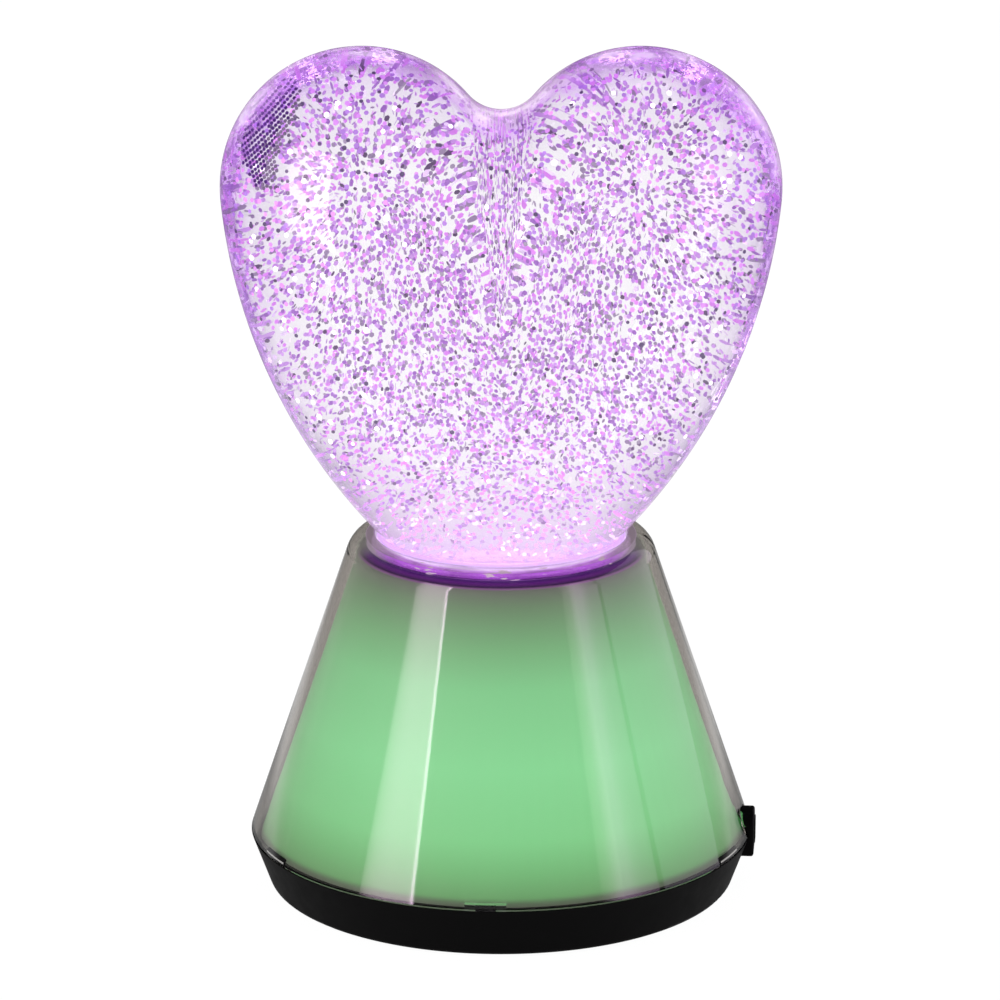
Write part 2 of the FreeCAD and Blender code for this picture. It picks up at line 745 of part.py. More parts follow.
def make_base_pan():
    """Black pan: sloping side, screw posts, upstand with snap tabs, battery opening."""
    edge_z = pan_bottom + pan_edge_radius
    edge_r = pan_radius(edge_z, pan_edge_radius)
    edge, low, high = arc((edge_r, edge_z), pan_edge_radius, -90, -pan_lean)
    pan = revolve(path([(0, pan_bottom), low]) + [edge] + path([
        high,
        (pan_rim_radius, pan_rim),
        (upstand_outer, pan_rim),
        (upstand_outer, upstand_top),
        (upstand_inner, upstand_top),
        (pan_radius(pan_floor_top, pan_wall), pan_floor_top),
        (0, pan_floor_top),
        (0, pan_bottom),
    ]))
    tab = snap_wedge(0, snap_width, pan_rim + snap_height)
    for angle in snap_angles:
        pan = pan.fuse(turned(tab, angle))
    sink_top = pan_bottom + base_screw_sink
    for angle in boss_angles:
        x, y = on_circle(boss_circle, angle)
        pan = pan.fuse(disc(boss_radius, pan_bottom + pan_floor / 2, upstand_top, x, y))
        pan = pan.cut(disc(screw_radius + screw_clearance, pan_bottom, upstand_top, x, y))
        pan = pan.cut(disc(screw_head_radius + screw_clearance, pan_bottom, sink_top, x, y))
    for angle in foot_angles:
        x, y = on_circle(foot_circle, angle)
        pan = pan.cut(disc(foot_radius + foot_clearance, pan_bottom, pan_bottom + foot_recess, x, y))
    recess_x = door_half_x + door_gap
    recess_y = door_half_y + door_gap
    pan = pan.cut(block((-recess_x, recess_x), (-recess_y, recess_y),
                        (pan_bottom, door_top + door_seat_gap)))
    pan = pan.cut(block((-box_half_x, box_half_x), (-box_half_y, box_half_y),
                        (pan_bottom, pan_floor_top)))
    for y_range in hook_ranges(door_gap):
        pan = pan.cut(block((0, recess_x), y_range, (pan_bottom, pan_floor_top)))
    pan = pan.cut(disc(finger_notch_radius, pan_bottom, pan_bottom + finger_notch_depth,
                       -recess_x))
    return pan.cut(switch_solid()).removeSplitter()


def make_feet():
    """Rubber feet, one in each pocket."""
    feet = []
    for x, y in [on_circle(foot_circle, angle) for angle in foot_angles]:
        foot = disc(foot_radius, 0, pan_bottom + foot_recess, x, y)
        rim = [e for e in foot.Edges if e.BoundBox.ZMax < foot_height / 2]
        feet.append(foot.makeChamfer(foot_chamfer, rim))
    return feet


def hook_ranges(grow):
    """Limits along Y of the door's two hooks, grown for a clearance."""
    half = hook_width / 2 + grow
    return [(side * hook_spacing / 2 - half, side * hook_spacing / 2 + half) for side in (-1, 1)]


def make_battery_door():
    """Door with two hooks at one end, two ribs inside and a spring tongue at the other end."""
    door = block((-door_half_x, door_half_x), (-door_half_y, door_half_y), (pan_bottom, door_top))
    corners = [e for e in door.Edges if abs(e.tangentAt(e.FirstParameter).z) > 0.99]
    door = door.makeFillet(door_corner, corners)
    finger_low = pan_floor_top + hook_gap
    finger_high = finger_low + hook_thickness
    neck_x = (door_half_x - door_gap - hook_neck, door_half_x - door_gap)
    finger_x = (neck_x[0], door_half_x + door_gap + hook_reach)
    for y_range in hook_ranges(0):
        door = door.fuse(block(neck_x, y_range, (pan_bottom, finger_high)))
        door = door.fuse(block(finger_x, y_range, (finger_low, finger_high)))
    rib_x = box_half_x - door_rib_inset
    rib_y = box_half_y - door_rib_inset
    for side in (-1, 1):
        y_range = (side * rib_y - door_rib_width / 2, side * rib_y + door_rib_width / 2)
        door = door.fuse(block((-rib_x, rib_x), y_range, (pan_bottom, door_top + door_rib_height)))
        slot = sorted((side * tongue_width / 2, side * (tongue_width / 2 + tongue_slot)))
        door = door.cut(block((-door_half_x, -door_half_x + tongue_length), slot,
                              (pan_bottom, door_top)))
    return door.removeSplitter()


def make_battery_box():
    """Cover over the cells, open below, with windows for the door's hooks and board posts."""
    out_x = box_half_x + box_wall
    out_y = box_half_y + box_wall
    box = block((-out_x, out_x), (-out_y, out_y), (pan_floor_top, box_top))
    box = box.cut(block((-box_half_x, box_half_x), (-box_half_y, box_half_y),
                        (pan_floor_top, box_ceiling)))
    for y_range in hook_ranges(door_gap):
        box = box.cut(block((box_half_x, out_x), y_range,
                            (pan_floor_top, pan_floor_top + hook_window)))
    for angle in board_post_angles:
        x, y = on_circle(board_post_circle, angle)
        box = box.fuse(disc(board_post_radius, box_top, cone_board_bottom, x, y))
    return box.removeSplitter()


def cell_rows():
    """Place along Y of each cell, and which way its nub points."""
    middle = (cell_count - 1) / 2
    return [((index - middle) * cell_pitch, 1 if index % 2 else -1) for index in range(cell_count)]


def make_cells():
    """Round cells, side by side and pointing to and fro."""
    cells = []
    for y, way in cell_rows():
        can = Part.makeCylinder(cell_radius, cell_length, V(-cell_length / 2, y, cell_z), V(1, 0, 0))
        nub = Part.makeCylinder(cell_nub_radius, cell_nub_height,
                                V(way * cell_length / 2, y, cell_z), V(way, 0, 0))
        cells.append(can.fuse(nub))
    return cells


def make_contact(end):
    """Contact plate at one end of the box (end is -1 or +1), with a pad for each cell."""
    wall = end * box_half_x
    face = wall - end * contact_plate
    plate = block(tuple(sorted((wall, face))),
                  (contact_side_gap - box_half_y, box_half_y - contact_side_gap),
                  (pan_floor_top + contact_lift, box_ceiling - cell_side_gap))
    for y, way in cell_rows():
        at_nub = way == end
        length = contact_space - contact_plate - (cell_nub_height if at_nub else 0)
        tip_radius_here = cell_nub_radius if at_nub else contact_pad_radius
        pad = Part.makeCone(contact_pad_radius + contact_plate, tip_radius_here, length,
                            V(face, y, cell_z), V(-end, 0, 0))
        plate = plate.fuse(pad)
    return plate


def family(name, shapes):
    """Numbered nodes for a set of like pieces."""
    return {f"{name}_{index}": shape for index, shape in enumerate(shapes, 1)}


def build():
    """All pieces of the lamp by name."""
    pieces = {
        "heart_globe": make_heart_globe(),
        "liquid_fill": make_liquid_fill(),
        "globe_plug": make_globe_plug(),
        "globe_seal": make_globe_seal(),
        "globe_seat": make_globe_seat(),
        "stirrer_pin": make_stirrer_pin(),
        "pin_cap": make_pin_cap(),
        "stirrer": make_stirrer(),
        "rotor_shaft": make_rotor_shaft(),
        "magnet_holder": make_magnet_holder(),
        "motor": make_motor(),
        "light_deck": make_light_deck(),
        "lamp_board": make_lamp_board(),
        "control_board": make_control_board(),
        "diffuser": make_diffuser(),
        "outer_shell": make_outer_shell(),
        "base_pan": make_base_pan(),
        "battery_box": make_battery_box(),
        "battery_door": make_battery_door(),
        "contact_left": make_contact(-1),
        "contact_right": make_contact(1),
        "switch_housing": make_switch_housing(),
        "switch_button": make_button(),
    }
    pieces.update(family("stirrer_magnet", magnets(stirrer_bottom)))
    pieces.update(family("rotor_magnet", magnets(rotor_top - magnet_height)))
    pieces.update(family("lamp_led", make_leds(lamp_led_circle, deck_top + board_thickness)))
    pieces.update(family("cone_led", make_leds(cone_led_circle, cone_board_bottom + board_thickness)))
    pieces.update(family("cell", make_cells()))
    pieces.update(family("foot", make_feet()))
    pieces.update(family("base_screw", make_base_screws()))
    pieces.update(family("deck_screw", make_deck_screws()))
    pieces.update(family("motor_screw", make_motor_screws()))
    return pieces


def main():
    os.makedirs("parts", exist_ok=True)
    for name, shape in build().items():
        solids = shape.Solids
        if not shape.isValid() or len(solids) != 1:
            print("check", name, "valid", shape.isValid(), "solids", len(solids))
        if len(solids) == 1:
            shape = solids[0]
        shape.exportStep(f"parts/{name}.step")
        print(f"{name}: {shape.Volume / 1000:.2f} cm3")


main()
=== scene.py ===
# %% [markdown]
# # A heart-shaped glitter lamp
# The lamp is a clear heart full of liquid and glitter. It stands in the mouth of a smoked cone,
# and a frosted cone inside that one glows green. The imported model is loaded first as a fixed
# frame: every piece below is made where the frame says. Shapes are worked out in millimetres
# and stored in metres.

# %% Load the frame
import math

import bpy
import numpy as np
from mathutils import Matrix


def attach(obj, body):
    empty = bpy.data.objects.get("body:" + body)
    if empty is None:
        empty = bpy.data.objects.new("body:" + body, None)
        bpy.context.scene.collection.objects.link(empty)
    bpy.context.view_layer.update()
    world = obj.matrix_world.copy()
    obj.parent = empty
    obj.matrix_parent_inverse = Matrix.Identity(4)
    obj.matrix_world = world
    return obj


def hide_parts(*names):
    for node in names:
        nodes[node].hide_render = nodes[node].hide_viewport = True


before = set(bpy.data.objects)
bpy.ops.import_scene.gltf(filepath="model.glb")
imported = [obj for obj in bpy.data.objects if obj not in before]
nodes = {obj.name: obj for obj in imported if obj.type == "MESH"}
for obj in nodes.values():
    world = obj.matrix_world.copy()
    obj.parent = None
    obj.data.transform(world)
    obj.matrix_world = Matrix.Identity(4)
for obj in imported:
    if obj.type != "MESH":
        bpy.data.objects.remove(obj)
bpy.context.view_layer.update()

MM = 0.001


# %% [markdown]
# Colours are written as they look on a screen, and a shader wants them as amounts of light, so
# one function turns one into the other. A second one adds a shader node. The rest are short
# names for what several materials below share: the place on the object, the distance from its
# upright axis, and a way for the lamps to shine through a clear surface.

# %% Helpers for colours and shader nodes
def light_of(hex_colour):
    """Amounts of red, green and blue light for a colour written as on a screen."""
    levels = np.array([int(hex_colour[i:i + 2], 16) for i in (1, 3, 5)]) / 255
    linear = np.where(levels <= 0.04045, levels / 12.92, ((levels + 0.055) / 1.055) ** 2.4)
    return tuple(linear.tolist())


def add(tree, kind, sockets=None, stops=(), **settings):
    """Adds a node, sets its settings, and gives its sockets their numbers or links.

    A node links by its first output, or by the one that is picked. A colour's three amounts
    get a fourth, which makes it opaque. Stops are those of a ramp of colours: each is a place
    on it and a grey or a colour.
    """
    node = tree.nodes.new("ShaderNode" + kind)
    for name, value in settings.items():
        setattr(node, name, value)
    for name, value in (sockets or {}).items():
        socket = node.inputs[name]
        if isinstance(value, bpy.types.Node):
            value = value.outputs[0]
        if isinstance(value, bpy.types.NodeSocket):
            tree.links.new(value, socket)
        elif socket.type == "RGBA":
            socket.default_value = (*value, 1)
        else:
            socket.default_value = value
    if stops:
        elements = node.color_ramp.elements
        while len(elements) < len(stops):
            elements.new(0.5)
        for element, (place, colour) in zip(elements, stops):
            element.position = place
            element.color = (*np.broadcast_to(colour, 3).tolist(), 1)
    return node


print("violet in light:", light_of("#a254b9"))


# %% Helpers for materials
def new_finish(name):
    """Empty material and its node tree."""
    finish = bpy.data.materials.new(name)
    finish.use_nodes = True
    finish.node_tree.nodes.clear()
    return finish, finish.node_tree


def dress(finish, *names):
    """Gives CAD nodes a finish."""
    for name in names:
        mesh = nodes[name].data
        mesh.materials.clear()
        mesh.materials.append(finish)
    print(finish.name, "on", len(names), "nodes")


def place_of(tree):
    """The shaded point's place on the object, as outputs X, Y and Z in metres."""
    return add(tree, "SeparateXYZ", {"Vector": add(tree, "TexCoord").outputs["Object"]}).outputs


def radius_of(tree, place):
    """Distance of a place from the upright axis."""
    flat = add(tree, "CombineXYZ", {"X": place["X"], "Y": place["Y"]})
    return add(tree, "VectorMath", {0: flat}, operation="LENGTH").outputs["Value"]


def open_to_lamps(tree, surface, tint):
    """Surface that rays to a lamp, and light from matt surfaces, pass as if it were tinted air."""
    rays = add(tree, "LightPath").outputs
    passes = add(tree, "Math", {0: rays["Is Shadow Ray"], 1: rays["Is Diffuse Ray"]},
                 operation="MAXIMUM")
    air = add(tree, "BsdfTransparent", {"Color": tint})
    return add(tree, "MixShader", {"Fac": passes, 1: surface, 2: air})


# %% [markdown]
# The camera looks slightly down, from a long way off, as for a catalogue picture: the lens is
# long and the view is narrow, so the cone's sides hardly close in with height.

# %% Camera
camera = bpy.data.objects.new("camera", bpy.data.cameras.new("camera"))
bpy.context.scene.collection.objects.link(camera)
camera.location = (0.0, -1.2140, 0.45515)
camera_pitch = 15.97
camera.rotation_euler = (math.radians(90 - camera_pitch), 0, 0)
camera.data.lens = 167.4
camera.data.sensor_width = 36
camera.data.shift_x = -0.0011
bpy.context.scene.camera = camera
print("camera at", tuple(camera.location))

# %% [markdown]
# The studio is a pale floor under an even pale sky. A smooth cone mirrors its surroundings, and
# what it mirrors makes it look like polished plastic. So the sky has three faces. The camera
# sees it white, matt surfaces get an even light from it, and it is dark to gloss, as a dark
# ceiling is, which keeps the cone clear. Through glass it is white low down and grey above.

# %% Sky
world = bpy.data.worlds.new("studio")
bpy.context.scene.world = world
world.use_nodes = True
sky = world.node_tree
sky.nodes.clear()
rays = add(sky, "LightPath").outputs
up = add(sky, "SeparateXYZ", {"Vector": add(sky, "TexCoord").outputs["Generated"]}).outputs["Z"]
sky_height = add(sky, "MapRange", {"Value": up, "From Min": -0.5, "From Max": 0.5})
mirrored_sky = add(sky, "ValToRGB", {"Fac": sky_height}, [
    (0.0, 0.07), (0.54, 0.07), (0.64, 0.05), (1.0, 0.05)])
sky_through = add(sky, "ValToRGB", {"Fac": sky_height}, [
    (0.0, 1), (0.58, 1), (0.80, (0.66, 0.65, 0.69)), (1.0, (0.45, 0.44, 0.48))])
sky_light = 0.95
sky_colour = add(sky, "Mix", {"Factor": rays["Is Camera Ray"], "A": (sky_light,) * 3,
                              "B": (1, 1, 1)}, data_type="RGBA").outputs[2]
sky_colour = add(sky, "Mix", {"Factor": rays["Is Glossy Ray"], "A": sky_colour,
                              "B": mirrored_sky}, data_type="RGBA").outputs[2]
sky_colour = add(sky, "Mix", {"Factor": rays["Is Transmission Ray"], "A": sky_colour,
                              "B": sky_through}, data_type="RGBA").outputs[2]
sky_shader = add(sky, "Background", {"Color": sky_colour, "Strength": 1.0})
add(sky, "OutputWorld", {"Surface": sky_shader.outputs["Background"]})
print("sky nodes:", len(sky.nodes))

# %% [markdown]
# Two tall lamps stand left and right, and their light is soft. A lamp's own reflection would be
# one even patch, so the lamps are hidden from gloss, and three upright cards that only gloss
# sees stand in for them: a strip with a bright edge at the left, a soft band at the right and a
# wide wall beyond it. A card's light can go through a list of stops.


# %% Tall lamps and cards
def stand(thing, turn, distance, middle):
    """Stands a lamp or card round the object; turn is its direction from the front, in degrees."""
    way = math.radians(turn)
    thing.location = (distance * math.sin(way), -distance * math.cos(way), middle)
    thing.rotation_euler[2] = way
    bpy.context.scene.collection.objects.link(thing)


def tall_lamp(name, turn, distance, width, tall, middle, strength):
    """Upright lamp that gloss doesn't reflect."""
    lamp = bpy.data.lights.new(name, "AREA")
    lamp.shape = "RECTANGLE"
    lamp.size, lamp.size_y = width, tall
    lamp.energy = strength * width * tall * math.pi
    lamp.normalize = True
    holder = bpy.data.objects.new(name, lamp)
    holder.rotation_euler = (math.radians(90), 0, 0)
    holder.visible_glossy = False
    stand(holder, turn, distance, middle)


def glow_card(name, turn, distance, width, tall, middle, colour, stops):
    """Upright card that only gloss reflects, its light going through stops sideways."""
    half_width, half_tall = width / 2, tall / 2
    mesh = bpy.data.meshes.new(name)
    mesh.from_pydata([(-half_width, 0, -half_tall), (half_width, 0, -half_tall),
                      (half_width, 0, half_tall), (-half_width, 0, half_tall)], [], [(0, 1, 2, 3)])
    card = bpy.data.objects.new(name, mesh)
    stand(card, turn, distance, middle)
    finish, tree = new_finish(name)
    share = add(tree, "MapRange", {"Value": place_of(tree)["X"], "From Min": -half_width,
                                   "From Max": half_width})
    light = add(tree, "ValToRGB", {"Fac": share}, [
        (at, v * np.array(colour)) for at, v in stops])
    glow = add(tree, "Emission", {"Color": light, "Strength": 1.0})
    add(tree, "OutputMaterial", {"Surface": glow})
    mesh.materials.append(finish)
    for ray in ("camera", "diffuse", "transmission", "volume_scatter", "shadow"):
        setattr(card, "visible_" + ray, False)


tall_lamp("left_lamp", turn=-54, distance=1.6, width=0.70, tall=1.3, middle=0.55, strength=2.6)
tall_lamp("right_lamp", turn=52, distance=1.9, width=0.36, tall=1.5, middle=0.60, strength=2.0)
glow_card("left_strip", turn=-52.0, distance=1.6, width=0.78, tall=1.3, middle=0.55,
          colour=(1.0, 0.74, 0.96),
          stops=[(0.0, 0.0), (0.03, 0.6), (0.12, 2.4), (0.22, 3.6), (0.38, 4.5), (0.86, 4.6),
                 (0.90, 6.5), (0.93, 14.0), (0.955, 13.0), (0.98, 2.5), (1.0, 0.0)])
glow_card("right_band", turn=58.6, distance=1.9, width=1.15, tall=1.5, middle=0.60,
          colour=(0.97, 0.62, 1.0),
          stops=[(0.0, 0.0), (0.15, 0.1), (0.25, 0.8), (0.33, 2.1), (0.42, 3.4), (0.52, 3.5),
                 (0.64, 2.3), (0.76, 1.7), (0.90, 1.35), (0.96, 1.1), (0.965, 0.0)])
glow_card("right_wall", turn=111.6, distance=1.9, width=2.6, tall=1.5, middle=0.60,
          colour=(0.9, 0.8, 1.0), stops=[(0.0, 1.0), (1.0, 0.8)])
print("lights:", [item.name for item in bpy.data.lights])

# %% [markdown]
# The floor is white paper. It is white to the camera, and a little matt paper mixed in keeps the
# object's shadow on it. Gloss and glass see a painted shadow on it instead: grey round the foot,
# and lighter a hand's width away. From below it is clear, so that the underside can be seen.

# %% Floor
floor_mesh = bpy.data.meshes.new("floor")
reach = 5.0
floor_mesh.from_pydata([(-reach, -reach, 0), (reach, -reach, 0), (reach, reach, 0),
                        (-reach, reach, 0)], [], [(0, 1, 2, 3)])
floor = bpy.data.objects.new("floor", floor_mesh)
bpy.context.scene.collection.objects.link(floor)
paper, tree = new_finish("white_paper_sweep")
rays = add(tree, "LightPath").outputs
matt = add(tree, "BsdfDiffuse", {"Color": (0.86, 0.86, 0.86)})
from_middle = add(tree, "VectorMath", {0: add(tree, "TexCoord").outputs["Object"]},
                  operation="LENGTH").outputs["Value"]
# Painted shadow: gloss and glass see the floor grey round the foot.
mirrored_paper = add(tree, "ValToRGB", {"Fac": from_middle}, [
    (0.0, 0.3), (0.15, 0.3), (0.22, 0.7), (0.30, 0.7), (0.45, 0.25), (0.75, 0.07)])
paper_through = add(tree, "ValToRGB", {"Fac": from_middle}, [
    (0.0, 0.6), (0.15, 0.6), (0.22, 1.03)])
paper_colour = add(tree, "Mix", {"Factor": rays["Is Glossy Ray"], "A": (1.03, 1.03, 1.03),
                                 "B": mirrored_paper}, data_type="RGBA").outputs[2]
paper_colour = add(tree, "Mix", {"Factor": rays["Is Transmission Ray"], "A": paper_colour,
                                 "B": paper_through}, data_type="RGBA").outputs[2]
white = add(tree, "Emission", {"Color": paper_colour, "Strength": 1.0})
seen = add(tree, "Math", {0: rays["Is Camera Ray"], 1: rays["Is Glossy Ray"]},
           operation="MAXIMUM")
seen = add(tree, "Math", {0: seen, 1: rays["Is Transmission Ray"]}, operation="MAXIMUM")
white_share = 0.95
seen_white = add(tree, "Math", {0: seen, 1: white_share}, operation="MULTIPLY")
top_side = add(tree, "MixShader", {"Fac": seen_white, 1: matt, 2: white})
under_side = add(tree, "BsdfTransparent", {"Color": (1, 1, 1)})
from_below = add(tree, "NewGeometry").outputs["Backfacing"]
sides = add(tree, "MixShader", {"Fac": from_below, 1: top_side, 2: under_side})
add(tree, "OutputMaterial", {"Surface": sides})
floor.data.materials.append(paper)
floor.visible_shadow = False
print("floor reaches", reach, "m each way")


# %% [markdown]
# The heart's outline is a chain of arcs that touch without a corner: notch, lobe, side and tip.
# Its thickness follows a full conic from the outline to the middle of the front. Seen from a
# point in its middle, every direction meets this surface once, so the surface is a formula of
# two angles and needs no modelling by hand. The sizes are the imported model's own. An inset
# moves the whole surface inwards, which gives the inside of the wall.

# %% The heart as a formula
heart_middle = 162.562
half_depth = 44.0
fullness = 0.85
lobe = np.array([37.47, 194.462])
lobe_radius = 37.45
side = np.array([-77.505, 204.926])
side_radius = 152.9
notch_radius = 11.8
tip_radius = 30.0
wall = 2.2
notch = np.array([0, lobe[1] + math.sqrt((lobe_radius + notch_radius) ** 2 - lobe[0] ** 2)])
tip = np.array([0, side[1] - math.sqrt((side_radius - tip_radius) ** 2 - side[0] ** 2)])


def turn_of(point):
    """Angle of an outline point from straight up, about the heart's middle."""
    return math.atan2(point[0], point[1] - heart_middle)


def reach_of(turn, inset):
    """Distance from the heart's middle to its outline, for angles from straight up.

    Each arc is a circle, and the distance is where the ray meets it: the near side of the
    notch's circle, and the far side of the others.
    """
    turn = np.abs(turn)
    ray = np.stack([np.sin(turn), np.cos(turn)], -1)

    def meet(centre, radius, far):
        offset = centre - np.array([0, heart_middle])
        along = ray @ offset
        spread = np.sqrt(np.maximum(along ** 2 - offset @ offset + radius ** 2, 0))
        return along + far * spread
    to_lobe = (lobe - notch) / np.hypot(*(lobe - notch))
    notch_end = turn_of(notch + to_lobe * (notch_radius + inset))
    to_side = (lobe - side) / np.hypot(*(lobe - side))
    lobe_end = turn_of(lobe + to_side * (lobe_radius - inset))
    to_tip = (tip - side) / np.hypot(*(tip - side))
    side_end = turn_of(side + to_tip * (side_radius - inset))
    return np.select([turn < notch_end, turn < lobe_end, turn < side_end],
                     [meet(notch, notch_radius + inset, -1), meet(lobe, lobe_radius - inset, 1),
                      meet(side, side_radius - inset, 1)], meet(tip, tip_radius - inset, 1))


def shares_of(points, inset):
    """How far points are from the middle, as shares of the outline's reach and of the depth."""
    x, y, z = points[..., 0], points[..., 1], points[..., 2] - heart_middle
    reach = reach_of(np.arctan2(x, z), inset)
    return np.hypot(x, z) / reach, np.abs(y) / (half_depth - inset)


def heart_points(ways, inset):
    """Points where rays from the heart's middle meet its surface.

    With s and l the shares of reach and depth and w twice the fullness, the surface is where
    (1 - s) + (1 - l) + w sqrt((1 - s)(1 - l)) = 1, a quadratic in the ray's length.
    """
    middle = np.array([0, 0, heart_middle])
    s, l = shares_of(middle + ways, inset)
    w_squared = 4 * fullness ** 2
    a = (s + l) ** 2 - w_squared * s * l
    b = (s + l) * (w_squared - 2)
    c = 1 - w_squared
    length = (-b + np.sqrt(b ** 2 - 4 * a * c)) / (2 * a)
    return middle + ways * length[..., None]


def is_inside(points, inset):
    """Whether points lie inside the heart's surface."""
    s, l = shares_of(points, inset)
    u, v = np.maximum(1 - s, 0), np.maximum(1 - l, 0)
    return (s < 1) & (l < 1) & (u + v + 2 * fullness * np.sqrt(u * v) >= 1)


check = heart_points(np.array([[1.0, 0, 0], [0, -1.0, 0], [0, 0, 1.0], [0.6, 0.0, 0.5]]), 0)
print("heart meets its axes at", check.round(2).tolist())


# %% [markdown]
# A grid of points covers the heart: one direction goes round the upright axis, the other from
# the flange up to the notch. The neck and flange below are a profile turned about that axis, on
# the same columns, so both join into one closed mesh with a fan of triangles at either end.

# %% Grid from the heart's foot to its notch
def ways_of(fall, around):
    """Directions at an angle from straight down and an angle round the upright axis."""
    return np.stack([np.sin(fall) * np.cos(around), np.sin(fall) * np.sin(around),
                     -np.cos(fall)], -1)


def foot_falls(around, inset, level, halvings=40):
    """Angles from straight down at which the surface passes a level, by halving."""
    low, high = np.full_like(around, 0.02), np.full_like(around, math.pi / 2)
    for _ in range(halvings):
        middle = (low + high) / 2
        below = heart_points(ways_of(middle, around), inset)[..., 2] < level
        low, high = np.where(below, middle, low), np.where(below, high, middle)
    return (low + high) / 2


def heart_rows(inset, level, rows, columns):
    """Rows of points from the level up to the row before the notch, and the notch's point."""
    around = np.linspace(0, 2 * np.pi, columns, endpoint=False)
    start = foot_falls(around, inset, level)
    share = np.linspace(0, 1, rows + 1)[:, None]
    fall = start + (math.pi - start) * share
    points = heart_points(ways_of(fall[:-1], around[None, :]), inset)
    points[0, :, 2] = level
    return points, heart_points(np.array([[0, 0, 1.0]]), inset)


def ring_rows(profile, columns):
    """Rings of points for a list of (radius, height), about the upright axis."""
    around = np.linspace(0, 2 * np.pi, columns, endpoint=False)
    radius, level = np.array(profile).T[:, :, None]
    return np.stack(np.broadcast_arrays(radius * np.cos(around), radius * np.sin(around),
                                        level), -1)


def capped_grid(rows, bottom, top):
    """Points and faces of rings of points, closed by a fan at either end.

    Point (row, column) has number 1 + row * columns + column, between the two poles.
    """
    count, columns = rows.shape[:2]
    points = np.concatenate([bottom.reshape(1, 3), rows.reshape(-1, 3), top.reshape(1, 3)])
    number = 1 + np.arange(count * columns).reshape(count, columns)
    beside = np.roll(number, -1, 1)
    quads = np.stack([number[:-1], beside[:-1], beside[1:], number[1:]], -1).reshape(-1, 4)
    last = len(points) - 1
    low_fan = np.stack([np.zeros(columns, int), beside[0], number[0]], -1)
    high_fan = np.stack([np.full(columns, last), number[-1], beside[-1]], -1)
    return points, [quads, low_fan, high_fan]


# %% A piece from points and faces
def new_piece(name, points, faces, finish, body, sharp=None):
    """Mesh object from points in millimetres and blocks of faces with equally many corners.

    Edges that turn by more than sharp degrees stay sharp, and with no such angle all do.
    """
    mesh = bpy.data.meshes.new(name)
    corners = np.concatenate([block.ravel() for block in faces])
    sizes = np.concatenate([np.full(len(block), block.shape[1]) for block in faces])
    starts = np.concatenate([[0], np.cumsum(sizes)[:-1]])
    mesh.vertices.add(len(points))
    mesh.vertices.foreach_set("co", (points * MM).astype(np.float32).ravel())
    mesh.loops.add(len(corners))
    mesh.loops.foreach_set("vertex_index", corners.astype(np.int32))
    mesh.polygons.add(len(sizes))
    mesh.polygons.foreach_set("loop_start", starts.astype(np.int32))
    mesh.update(calc_edges=True)
    mesh.validate()
    mesh.polygons.foreach_set("use_smooth", np.full(len(sizes), sharp is not None))
    if sharp is not None:
        mesh.set_sharp_from_angle(angle=math.radians(sharp))
    mesh.materials.append(finish)
    piece = bpy.data.objects.new(name, mesh)
    bpy.context.scene.collection.objects.link(piece)
    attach(piece, body)
    print(name, "has", int((sizes - 2).sum()), "triangles")
    return piece


# %% [markdown]
# The globe is acrylic, blown in a mould and polished, with a wall of about 2 mm. Light bends
# when it enters the wall and bends again when it enters the liquid, so the globe needs both
# surfaces: one for the outside, and one where wall and liquid meet. The second one bends light
# by the ratio of the two, which is less than one. Lamps have to shine through both, so a shadow
# ray passes them as if they were clear air.
#
# The lamp board below fills the liquid with violet light, painted as a glow low in the heart.

# %% Where wall and liquid meet
acrylic_ior = 1.49
liquid_ior = 1.34
clear_liquid, tree = new_finish("clear_liquid")
glass = add(tree, "BsdfGlass", {"Color": (1, 1, 1), "Roughness": 0.0,
                                "IOR": liquid_ior / acrylic_ior})
level = add(tree, "MapRange", {"Value": place_of(tree)["Z"], "From Min": 90 * MM,
                               "From Max": 140 * MM})
# Painted glow of the lamp board's violet light, strongest low down.
painted_glow_share = add(tree, "ValToRGB", {"Fac": level}, [
    (0.0, 0.5), (0.2, 0.42), (0.4, 0.2), (0.7, 0.07), (1.0, 0.02)])
painted_glow = add(tree, "Emission", {"Color": (0.84, 0.67, 0.95), "Strength": 1.0})
clear = open_to_lamps(tree, glass, (1, 1, 1))
clear_with_painted_glow = add(tree, "MixShader", {"Fac": painted_glow_share, 1: clear, 2: painted_glow})
add(tree, "OutputMaterial", {"Surface": clear_with_painted_glow})
print("light bends into the liquid by", round(liquid_ior / acrylic_ior, 3))

# %% [markdown]
# The same light glows in the neck and flange; it is painted there as a glow, a lower clearness
# and a pale violet colour, which the first three ramps below follow upwards.
# Near the outline the eye looks along the wall and not through it, so the rim is hardly clear;
# its pale violet is painted light, with painted grey shade inside it. An attribute stores how near
# each point is to the outline, so that the painted rim stays on the object from every side, and a
# noise makes its inner border uneven. The lobes have a wider rim than the sides. At the notch both
# lobes send their light to the rim, and a painted highlight makes it palest there.

# %% Painted light and shade, and clearness, of the globe
polished_acrylic, tree = new_finish("polished_acrylic")
place = place_of(tree)
foot_low, foot_high = 90 * MM, 130 * MM
level = add(tree, "MapRange", {"Value": place["Z"], "From Min": foot_low,
                               "From Max": foot_high})
